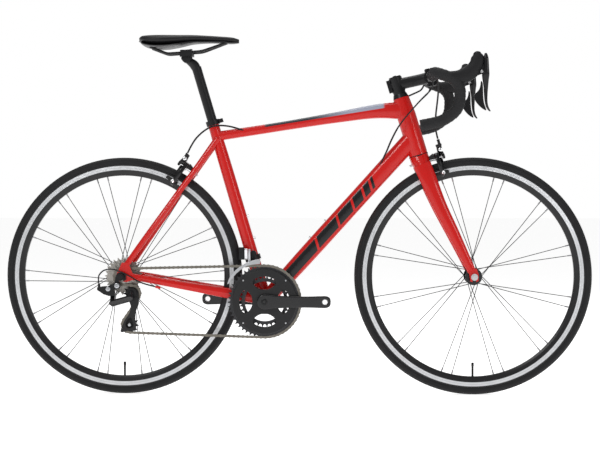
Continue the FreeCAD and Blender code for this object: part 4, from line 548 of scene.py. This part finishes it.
def housing(name, points, diameter, body, other=None, replaced=()):
    """A cable housing on one smooth curve; where it crosses a joint it is attached to no body."""
    curve = bpy.data.curves.new(name + "_line", "CURVE")
    curve.dimensions, curve.resolution_u = "3D", 12
    line = curve.splines.new("NURBS")
    line.points.add(len(points) - 1)
    for knot, point in zip(line.points, points):
        knot.co = (*(value * MM for value in point), 1.0)
    line.order_u, line.use_endpoint_u = 3, True
    guide = bpy.data.objects.new(name + "_line", curve)
    bpy.context.scene.collection.objects.link(guide)
    bpy.context.view_layer.update()
    run = bpy.data.meshes.new_from_object(guide)
    path = [tuple(vertex.co) for vertex in run.vertices]
    bpy.data.objects.remove(guide)
    bpy.data.meshes.remove(run)
    rows = [tuple(value / MM for value in point) + (diameter / 2, diameter / 2) for point in path]
    made = Shape(name).sweep(rows, around=16, count=0, bulge=0.1, side=(0.3, 1, 0.2)).piece(
        None if other else body, "housing", *replaced, slot="housing")
    if other:
        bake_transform(made)


FRONT_BRAKE = [(388, -79.5, 890.5), (392.5, -68, 880), (393.5, -56, 852), (391, -40, 822), (388, -26, 791),
               (386.3, -24, 752), (394, -24, 723.9)]
SHIFT = [(376.5, 79.5, 882.5), (380, 67, 865), (350, 62, 838), (318, 49, 802), (286, 42, 764),
         (263, 37, 720), (249, 29, 684), (231, 16, 650)]
TOP_TUBE = [(361, 79.5, 885.5), (355, 66, 868), (335, 52, 858), (300, 38, 842), (268, 31, 824),
            (243, 20, 806), (222, 8, 797)]
REAR_BRAKE = [(-142, -9, 744.5), (-178, -16.5, 757), (-211, -21, 763), (-243, -25, 761), (-272, -27, 743),
              (-297, -27, 716), (-312, -24, 684.9)]
DERAILLEUR = [(-399.3, -68.6, 308.6), (-421, -73, 314), (-445, -79, 323), (-470, -86, 340),
              (-495, -89, 352), (-518, -89, 359.5), (-540, -88, 357), (-554, -85, 345),
              (-558.5, -82, 332), (-556.7, -79, 318.9)]
BRAKE_HOUSING, SHIFT_HOUSING = 5.0, 4.0
housing("front_brake_housing", FRONT_BRAKE, BRAKE_HOUSING, "steering", "front_brake_arm_left",
        ["front_brake_cable"])
housing("shift_housing_left", SHIFT, SHIFT_HOUSING, "steering", "frame", ["steering_cables"])
housing("shift_housing_right", mirror(SHIFT), SHIFT_HOUSING, "steering", "frame", ["steering_cables"])
housing("top_tube_housing", TOP_TUBE, BRAKE_HOUSING, "steering", "frame", ["steering_cables"])
housing("rear_brake_housing", REAR_BRAKE, BRAKE_HOUSING, "frame", "rear_brake_arm_left", ["rear_cables"])
housing("derailleur_housing", DERAILLEUR, SHIFT_HOUSING, "frame", None, ["rear_cables"])


# ---------------------------------------------------------------- bar tape, hoods and levers

BAR_BEND = [(376, 207, 898), (444, 211, 873), (441, 211, 799), (398, 210.5, 765.5), (336.5, 210, 753.4)]
TAPE_START = (376, 82, 898)
TAPE_RADIUS, WRAP_PITCH, WRAP_STEP, WRAP_SUNK = 15.0, 13.0, 1.5, 0.45
TAPE_STATIONS, TAPE_AROUND = 520, 36


def rounded(points, share):
    """A run through points whose corners are arcs, as large as share of the shorter leg allows."""
    points = [Vector(point) for point in points]
    made = [points[0]]
    for before, corner, after in zip(points, points[1:], points[2:]):
        back, on = (before - corner), (after - corner)
        reach = share * min(back.length, on.length)
        back, on = back.normalized(), on.normalized()
        half = back.angle(on) / 2
        centre = corner + (back + on).normalized() * (reach / math.cos(half))
        first, last = corner + back * reach - centre, corner + on * reach - centre
        for step in range(13):
            made.append(centre + first.slerp(last, step / 12) * first.length)
    made.append(points[-1])
    return made


def wrapped_tape(name, side):
    """Tape wound round the bar: each turn's edge stands a little over the one before it."""
    path = rounded([TAPE_START] + BAR_BEND, 0.45)
    run = spread([tuple(point) for point in path], TAPE_STATIONS)
    points = [Vector(row) for row in run]
    across, distance, rings = Vector((0, 0, 1)), 0.0, []
    for index, point in enumerate(points):
        following = points[min(index + 1, TAPE_STATIONS - 1)]
        along = (following - points[max(index - 1, 0)]).normalized()
        across = (across - along * across.dot(along)).normalized()
        up = along.cross(across)
        distance += (point - points[max(index - 1, 0)]).length
        ring = []
        for step in range(TAPE_AROUND):
            turn = 2 * math.pi * step / TAPE_AROUND
            phase = (distance / WRAP_PITCH + step / TAPE_AROUND) % 1.0
            edge = WRAP_STEP * min((1 - phase) / 0.12, 1.0) * (0.35 + 0.65 * phase)
            outward = across * math.cos(turn) + up * math.sin(turn)
            spot = point + outward * (TAPE_RADIUS + edge - WRAP_SUNK)
            ring.append((spot.x, spot.y * side, spot.z))
        rings.append(ring)
    Shape(name).rings(rings).piece("steering", "tape", "bar_tape", slot="tape", sharp=70)


HOOD = [(417, 208, 883.5, 16.6, 16.2), (436, 208, 883.5, 18.6, 16.8), (455, 208, 888.5, 20.6, 17.0),
        (474, 208, 900.5, 20.4, 16.6), (485.5, 208, 917, 18.6, 15.6), (489, 208, 931, 17.6, 14.8),
        (489.5, 208, 940, 15.8, 13.6), (488.5, 208, 946, 11.0, 10.4)]
LEVER = [(511.5, 208, 947, 3.6, 5.6), (511.8, 208, 938, 6.6, 8.0), (512.4, 208, 926, 7.4, 9.2),
         (512.6, 208, 908, 8.0, 9.8), (511.6, 208, 892, 10.0, 9.6), (511.4, 208, 876, 8.4, 8.4),
         (512.0, 208, 858, 6.2, 7.2), (511.8, 208, 840, 5.0, 6.4), (512.6, 208, 820, 3.9, 5.8),
         (515.2, 208, 806, 3.3, 5.6), (519.5, 208, 797, 2.8, 5.4), (523.4, 208, 792.5, 1.9, 4.6)]
PADDLE = [(499, 873), (497.5, 862), (493.5, 850), (481, 836), (480.5, 829), (487, 815), (499, 802),
          (510.5, 794.5), (512.8, 797), (507, 815), (504.8, 835), (504.4, 852), (503, 868)]
LEVER_OUT, PADDLE_HALF = 208, 3.6
LEVER_PIN = [(-19.5, 1.4), (-19.5, 3.0), (-19.0, 3.5), (-17.0, 3.6), (17.0, 3.6), (19.0, 3.5),
             (19.5, 3.0), (19.5, 1.4)]

for label, side in SIDES:
    hood, lever = (HOOD, LEVER) if side > 0 else (mirror(HOOD), mirror(LEVER))
    wrapped_tape("wrapped_tape_" + label, side)
    Shape("hood_" + label).sweep(hood, square=2.4, around=40, bulge=0.75).piece(
        "steering", "rubber", "lever_hoods", slot="hood_rubber", sharp=80)
    Shape("lever_blade_" + label).sweep(lever, square=2.8, around=28, count=64, bulge=0.6).piece(
        "brake_lever_" + label, "gloss_black", "brake_lever_" + label, sharp=80)
    middle = side * LEVER_OUT
    Shape("shift_blade_" + label).plate(eased(PADDLE, 5), middle - PADDLE_HALF, middle + PADDLE_HALF).piece(
        "shift_paddle_" + label, "gloss_black", "shift_paddle_" + label, bevel=1.6)
    Shape("lever_pin_" + label).turned(LEVER_PIN, (499.5, middle, 898)).piece("steering", "chrome")


# ---------------------------------------------------------------- saddle

SADDLE = [(-449, 24, 1012, 1002), (-440, 52, 1016, 994), (-415, 68, 1018, 986), (-380, 70, 1018.5, 985),
          (-340, 58, 1018.5, 990), (-300, 38, 1019, 997), (-260, 26, 1017.5, 999), (-220, 21, 1015, 999),
          (-185, 18, 1012, 997), (-168, 9, 1007, 999)]
SADDLE_STATIONS, SADDLE_AROUND = 90, 56
SQUARE_OUT, SQUARE_UP = 2.5, 2.3
CHANNEL_DEPTH, CHANNEL_SHARE = 1.6, 0.22
SEAM_DEPTH, SEAM_AT, SEAM_SHARE = 0.9, 0.70, 0.035


def saddle_cover():
    """A crowned cover with a shallow middle channel, drawn in under its edges."""
    rows = [(x, 0, (top + bottom) / 2, (top - bottom) / 2, width) for x, width, top, bottom in SADDLE]
    run = spread(rows, SADDLE_STATIONS)
    rings = []
    for x, _, middle, thick, width in run:
        ring = []
        for step in range(SADDLE_AROUND):
            turn = 2 * math.pi * step / SADDLE_AROUND
            out = power(math.sin(turn), SQUARE_OUT) * width
            up = power(math.cos(turn), SQUARE_UP) * thick
            if up > 0:
                share = out / max(width, 1.0)
                up -= CHANNEL_DEPTH * math.exp(-(share / CHANNEL_SHARE) ** 2) * min(width / 30, 1.0)
                up -= SEAM_DEPTH * math.exp(-((abs(share) - SEAM_AT) / SEAM_SHARE) ** 2)
            else:
                up *= 0.8
            ring.append((x, out, middle + up))
        rings.append(ring)
    cover = Shape("padded_saddle").rings(rings).piece("saddle", "skin", "saddle_cover", slot="saddle_skin",
                                                      sharp=70)
    # a row of stitches in the seam on each side
    lift = (1 - SEAM_AT ** SQUARE_OUT) ** (1 / SQUARE_UP)
    marks = run[8:80]
    for label, side in SIDES:
        stitches = Shape("saddle_stitches_" + label)
        for before, after in zip(marks, marks[1:]):
            ends = []
            for share, (_, _, middle, thick, width) in ((0.15, before), (0.75, after)):
                x = before[0] + (after[0] - before[0]) * share
                ends.append((x, side * SEAM_AT * width, middle + (lift * thick - 0.25), 0.45, 0.45))
            stitches.sweep(ends, around=8, count=3, bulge=0.9)
        stitches.piece("saddle", "thread", slot="saddle_skin", sharp=80)


saddle_cover()


# ---------------------------------------------------------------- cranks

def polar(radius, degrees):
    angle = math.radians(degrees)
    return BRACKET.x + radius * math.cos(angle), BRACKET.z + radius * math.sin(angle)


CRANK_LENGTH, CRANK_INSIDE, CRANK_OUTSIDE, BOSS_INSIDE = 170, 60.0, 73.0, 46.0
CRANK_FLANK = [(-19, 9), (-8, 19.5), (8, 21), (30, 18.2), (70, 16.2), (120, 15.6), (158, 16.6),
               (175, 16.2), (185, 9)]
SLEEVE = ((60.6, 6.2), (60.6, 7.9), (72.4, 7.9), (72.4, 6.2), (60.6, 6.2))
SLEEVE_AROUND = 40


def crank(label, side):
    """One crank arm with its boss, its cap and the sleeve of the pedal's hole."""
    turn = -side
    outline = [(BRACKET.x + turn * x, BRACKET.z + z) for x, z in CRANK_FLANK]
    outline += [(BRACKET.x + turn * x, BRACKET.z - z) for x, z in reversed(CRANK_FLANK)]
    eye = (BRACKET.x + turn * CRANK_LENGTH, BRACKET.z)
    near, far = sorted((side * CRANK_INSIDE, side * CRANK_OUTSIDE))
    cut_plate("crank_" + label, [eased(outline), circle(eye, 7.6)], near, far, 3.0, "crankset",
              "gloss_black", "crank_arm_" + label, slot="black_alloy")
    sleeve = Shape("pedal_sleeve_" + label)
    sleeve.rings([[(point.x, side * y, point.y) for point in circle(eye, radius, SLEEVE_AROUND)]
                  for y, radius in SLEEVE], closed_ends=False)
    sleeve.piece("crankset", "steel")
    ends = sorted((side * BOSS_INSIDE, side * (CRANK_INSIDE + 1.0)))
    boss = Shape("crank_boss_" + label)
    boss.turned([(ends[0], 17.0), (ends[0] + 1.2, 19.5), (ends[1] - 1.2, 19.5), (ends[1], 17.5)], BRACKET)
    boss.piece("crankset", "gloss_black")
    cap = Shape("crank_cap_" + label)
    profile = ((-0.4, 2.0), (0.2, 4.6), (1.1, 5.2), (1.1, 8.6), (0.6, 9.4), (-1.0, 9.6))
    cap.turned([(side * (CRANK_OUTSIDE + out), radius) for out, radius in profile], BRACKET)
    cap.piece("crankset", "black")


def spider():
    """The broad four-armed cover over the rings, with a rounded window between its arms."""
    window = [(71, 0), (70, 16), (67, 27), (58, 31.5), (46, 28), (37, 17), (34.5, 0)]
    windows = []
    for middle in (0, 90, 180, 270):
        outline = [polar(radius, middle + out) for radius, out in window]
        outline += [polar(radius, middle - out) for radius, out in reversed(window[1:-1])]
        windows.append(eased(outline))
    edge = circle((BRACKET.x, BRACKET.z), 91.0, 96)
    cut_plate("spider_cover", [edge] + windows, -60.2, -53.2, 1.8, "crankset", "satin_black",
              slot="black_alloy")
    bolts = Shape("ring_bolts")
    for middle in (45, 135, 225, 315):
        x, z = polar(84.5, middle)
        bolts.turned([(-60.9, 0.8), (-60.9, 1.8), (-60.5, 2.3), (-59.0, 2.4)], (x, 0, z), around=20)
    bolts.piece("crankset", "bright", sharp=35)


crank("right", -1.0)
crank("left", 1.0)
spider()


# ---------------------------------------------------------------- derailleurs

GUIDE, TENSION = (-466.0, 288.5), (-472.92, 200.77)


def derailleurs():
    """The rear cage with its two pulleys showing, the pulley bolts and cage pivot, and the front cage."""
    gx, gz = GUIDE
    tx, tz = TENSION
    outer = [(gx + 17, gz + 6), (gx + 6, gz + 16), (gx - 9, gz + 15), (gx - 16, gz + 3), (gx - 10, gz - 16),
             (gx - 3, gz - 38), (gx - 9, gz - 58), (tx - 14, tz + 12), (tx - 25, tz - 15),
             (tx - 21, tz - 21), (tx - 4, tz - 17), (tx + 15, tz - 17), (tx + 19, tz - 11),
             (tx + 17, tz + 10), (gx + 10, gz - 62), (gx + 12, gz - 48), (gx + 20, gz - 26)]
    hole = [(tx - 11, tz + 3), (tx - 5, tz + 16), (tx + 4, tz + 20), (tx + 9, tz + 10), (tx + 11, tz - 4),
            (tx + 3, tz - 9), (tx - 7, tz - 8)]
    cut_plate("rear_cage_outer", [eased(outer, 4), eased(hole, 4)], -64.7, -62.6, 0.5, "rd_cage",
              "satin_black", "rd_cage", slot="black_alloy")
    inner = [(gx + 8, gz + 2), (gx + 2, gz + 8), (gx - 5, gz + 6), (gx - 8, gz - 3), (gx - 3, gz - 38),
             (gx - 9, gz - 58), (tx - 13, tz + 10), (tx - 18, tz - 14), (tx - 4, tz - 13),
             (tx + 11, tz - 12), (tx + 13, tz + 8), (gx + 6, gz - 60), (gx + 9, gz - 40)]
    cut_plate("rear_cage_inner", [eased(inner, 4)], -51.7, -50.4, 0.4, "rd_cage", "satin_black", "rd_cage",
              slot="black_alloy")
    pins = Shape("pulley_bolts")
    for x, z in (GUIDE, TENSION):
        pins.turned([(-66.2, 1.6), (-66.2, 3.0), (-65.8, 4.2), (-64.6, 4.6), (-64.4, 3.9), (-50.6, 3.9),
                     (-50.2, 3.0)], (x, 0, z), around=28)
    pins.piece("rd_cage", "bright", "rd_cage", sharp=35)
    stub = Shape("cage_pivot").turned([(-75.0, 4.5), (-75.0, 6.0), (-64.0, 6.0)], (gx, 0, gz), around=32)
    stub.piece("rd_cage", "black", "rd_cage")
    # front derailleur: a slim polished cage that follows the big ring
    arc = [polar(120.5, angle) for angle in range(96, 145, 6)]
    arc += [polar(118, 150), polar(116, 155), polar(113.5, 154)]
    arc += [polar(112.0, angle) for angle in range(146, 113, -6)]
    arc += [polar(109.5, 108), polar(107.5, 102), polar(107, 97)]
    for label, near, far in (("outer", -54.6, -52.9), ("inner", -41.6, -39.9)):
        cut_plate("front_cage_" + label, [arc], near, far, 0.5, "fd_cage", "bright", "fd_cage",
                  slot="silver_alloy")
    lug = Shape("front_cage_lug")
    lug.sweep([(-137, -40, 372, 5.5, 3.2), (-136.5, -43, 386, 5.0, 3.4), (-136.5, -45.5, 400, 4.6, 3.4),
               (-136.5, -46, 412, 4.4, 3.6)], square=3.0, around=20, count=16, side=(1, 0, 0))
    lug.piece("fd_cage", "bright", "fd_cage")
    bridge = Shape("front_cage_bridge")
    bridge.sweep([(-137, -40.5, 375, 3.2, 4.0), (-137, -54, 375, 3.2, 4.0)], square=3.0, around=20, count=6,
                 bulge=0.2, side=(1, 0, 0))
    bridge.piece("fd_cage", "bright", "fd_cage")


derailleurs()

bolts = Shape("derailleur_bolts")
for centre, start, radius in (((-505.0, 312.0), -87.6, 6.8), ((-530.0, 303.0), -87.6, 6.4)):
    bolts.turned([(start, 2.4), (start + 0.5, 2.6), (start - 0.6, 3.4), (start - 0.6, radius - 1.2),
                  (start, radius), (start + 2.0, radius)], (centre[0], 0, centre[1]), around=32)
bolts.piece("frame", "bright", sharp=35)


# ---------------------------------------------------------------- brakes

BRIDGE = Vector((-297, 0, 628.5))
FRONT_CALIPER = (HEAD_BOTTOM - STEER_UP * 22, STEER_AHEAD, STEER_UP)
REAR_CALIPER = (BRIDGE, Vector((-0.8145, 0, 0.580)), Vector((0.580, 0, 0.8145)))


ARM_DEPTH, ARM_SPACING, PAD_OUT = 11.0, 11.5, 16.8
LEFT = Vector((0, 1, 0))


def caliper(end, place, start, reach, pads, bodies, base):
    """Two forged arms with pads and bolts; start, reach and pads are in the caliper's own frame."""
    origin, out, up = place
    low = -reach - 7.0
    first = [(0, 13), (-10, 15), (-24, 11), (-34, -8), (-35, -30), (-32, low), (-23, low), (-23, -30),
             (-21, -9), (-12, -10), (0, -10), (9, -5), (11, 7)]
    second = [(17, 16), (28, 11), (36, -8), (36, -30), (32, low), (23, low), (22, -30), (21, -9), (10, -4),
              (7, 8), (-6, 13), (-14, 16), (-20, 26), (-21, 34), (-15, 33), (-6, 25), (5, 21)]
    height = origin - up * reach
    for outline, depth, side, body in zip((first, second), (start, start + ARM_SPACING), (-1, 1), bodies):
        label = body.rsplit("_", 1)[-1]
        made = cut_plate(f"{end}_caliper_{label}", [eased(outline, 4)], 0.0, ARM_DEPTH, 2.2, None,
                         "gloss_black", slot="black_alloy")
        made.data.transform(Matrix((LEFT, out, up)).transposed().to_4x4())
        made.data.transform(Matrix.Translation((origin + out * depth) * MM))
        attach(made, body)
        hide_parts(body)
        pad = Shape(f"{end}_pad_{label}")
        pad.sweep([(*(height + out * along + LEFT * (side * PAD_OUT)), 4.6, 4.2) for along in pads],
                  square=4.0, around=24, count=12, bulge=0.35, side=(0, 1, 0))
        pad.piece(body, "pads", body)
        bolt = Shape(f"{end}_pad_bolt_{label}")
        bolt.turned([(side * 20, 3.0), (side * 33, 3.0), (side * 33, 5.0), (side * 36, 5.0), (side * 37, 4.0),
                     (side * 36.4, 2.2), (side * 35, 2.0)], height + out * (start + 9.5), around=24)
        bolt.piece(body, "chrome", body, sharp=35)
    front = start + ARM_SPACING + ARM_DEPTH
    caps = Shape(end + "_pivot_caps")
    for across, above in ((0, 0), (17, 6)):
        caps.turned([(front, 7.4), (front + 1.0, 8.0), (front + 5.0, 8.0), (front + 6.5, 6.0),
                     (front + 6.5, 3.4), (front + 5.0, 3.0)], origin + LEFT * across + up * above, axis=out,
                    around=32)
    spacer = Shape(end + "_caliper_spacer")
    spacer.sweep([(*(origin + out * (start - 17) + up * 5), 5.0, 9.0),
                  (*(origin + out * (start - 1) + up * 7), 8.5, 11.0)],
                 square=4.0, around=28, count=6, bulge=0.2)
    caps.piece(base, "satin_black", sharp=35)
    spacer.piece(base, "satin_black", sharp=50)


def barrel(end, place, start, along, low, high, body):
    """The barrel that the housing ends in, the arm that holds it, and the bolt that clamps the wire."""
    origin, out, up = place
    foot = origin + out * along - LEFT * 24
    made = Shape(end + "_barrel")
    made.turned([(low, 3.2), (low, 4.0), (low + 6, 4.2), (low + 7, 5.6), (low + 12, 5.6), (low + 13, 4.2),
                 (high - 5, 3.6), (high - 4, 4.4), (high, 4.2), (high, 2.6)], foot, axis=up, around=24)
    made.piece(body, "black", body, sharp=35)
    reach = along - 6.0 - start
    seat = Shape(end + "_cable_arm")
    seat.sweep([(*(foot + up * (low + 9) - out * back), 4.4, 5.2) for back in (-1.0, reach / 2, reach - 6)],
               square=3.0, around=20, count=8, bulge=0.4)
    seat.piece(body, "gloss_black", body)
    clamp = Shape(end + "_cable_clamp")
    clamp.turned([(-7, 2.2), (-7, 3.6), (-6, 5.2), (-2, 5.4), (-1.6, 3.6), (5, 3.6)],
                 foot + up * 20 - out * 2, around=24)
    clamp.piece(body, "chrome", body, sharp=35)


caliper("front", FRONT_CALIPER, 42.0, 45.0, (30, 48, 67),
        ("front_brake_arm_right", "front_brake_arm_left"), "steering")
caliper("rear", REAR_CALIPER, 24.0, 52.0, (21, 38, 55),
        ("rear_brake_arm_right", "rear_brake_arm_left"), "frame")
barrel("front", FRONT_CALIPER, 42.0, 64.0, 23.0, 49.0, "front_brake_arm_left")
barrel("rear", REAR_CALIPER, 24.0, 44.5, 0.0, 36.0, "rear_brake_arm_left")

seal = Shape("headset_seal")
seal.turned([(-2.0, 25.5), (-2.0, 27.2), (-1.4, 27.5), (0.8, 27.5), (1.3, 27.2), (1.3, 25.5)],
            HEAD_BOTTOM, axis=STEER_UP, around=96)
seal.piece("frame", "rubber", sharp=35)


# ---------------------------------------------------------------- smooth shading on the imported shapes

for name in NODE_FINISH:
    nodes[name].data.shade_smooth()
    nodes[name].data.set_sharp_from_angle(angle=math.radians(28))


# ---------------------------------------------------------------- stage, light and camera

SKY_LIGHT, FLOOR_GLOW, FLOOR_REACH = 0.36, 0.64, 30
STUDIO_LAMPS = (("key", (-1.9, -3.4, 3.2), 1.4, 52), ("fill", (2.8, -2.8, 1.6), 1.0, 14),
                ("top", (0.0, 0.3, 3.6), 2.0, 34), ("back", (0.6, 3.2, 2.6), 2.4, 34))


def make_stage():
    mesh = bpy.data.meshes.new("floor")
    corners = [(x * FLOOR_REACH, y * FLOOR_REACH, 0) for x, y in ((-1, -1), (1, -1), (1, 1), (-1, 1))]
    mesh.from_pydata(corners, [], [(0, 1, 2, 3)])
    floor = bpy.data.objects.new("floor", mesh)
    bpy.context.scene.collection.objects.link(floor)
    s = Shader("pale_floor")
    s.roughness(0.75, 0.85, 3.0)
    s.surface.inputs["Emission Color"].default_value = (1, 1, 1, 1)
    s.surface.inputs["Emission Strength"].default_value = FLOOR_GLOW
    mesh.materials.append(s.finish(s.vary((0.90, 0.90, 0.90), 0.01, 2.0), specular=0.05))
    world = bpy.data.worlds.new("studio")
    bpy.context.scene.world = world
    world.use_nodes = True
    tree = world.node_tree
    sky = tree.nodes["Background"]
    sky.inputs["Color"].default_value = (1, 1, 1, 1)
    sky.inputs["Strength"].default_value = SKY_LIGHT
    # the white wall that is seen is brighter than the light that it gives
    seen = tree.nodes.new("ShaderNodeBackground")
    seen.inputs["Color"].default_value = (1, 1, 1, 1)
    seen.inputs["Strength"].default_value = 1.0
    path = tree.nodes.new("ShaderNodeLightPath")
    either = tree.nodes.new("ShaderNodeMixShader")
    tree.links.new(path.outputs["Is Camera Ray"], either.inputs[0])
    tree.links.new(sky.outputs[0], either.inputs[1])
    tree.links.new(seen.outputs[0], either.inputs[2])
    tree.links.new(either.outputs[0], tree.nodes["World Output"].inputs["Surface"])
    middle = Vector((0, 0, 0.45))
    for label, place, size, energy in STUDIO_LAMPS:
        lamp = bpy.data.lights.new(label, "AREA")
        lamp.energy, lamp.size = energy, size
        light = bpy.data.objects.new(label, lamp)
        light.location = place
        light.rotation_euler = (middle - Vector(place)).to_track_quat("-Z", "Y").to_euler()
        bpy.context.scene.collection.objects.link(light)


def make_camera():
    """Close to the angle that the photograph was taken from."""
    target, distance = Vector((0.0052, 0, 0.4805)), 4.447
    turn, rise = math.radians(1.6), math.radians(1.21)
    back = Vector((math.sin(turn) * math.cos(rise), -math.cos(turn) * math.cos(rise), math.sin(rise)))
    lens = bpy.data.cameras.new("camera")
    lens.lens, lens.sensor_width = 93.9, 36.0
    camera = bpy.data.objects.new("camera", lens)
    camera.location = target + back * distance
    camera.rotation_euler = (-back).to_track_quat("-Z", "Y").to_euler()
    bpy.context.scene.collection.objects.link(camera)
    bpy.context.scene.camera = camera


bpy.context.scene.view_settings.view_transform = "Standard"
make_stage()
make_camera()
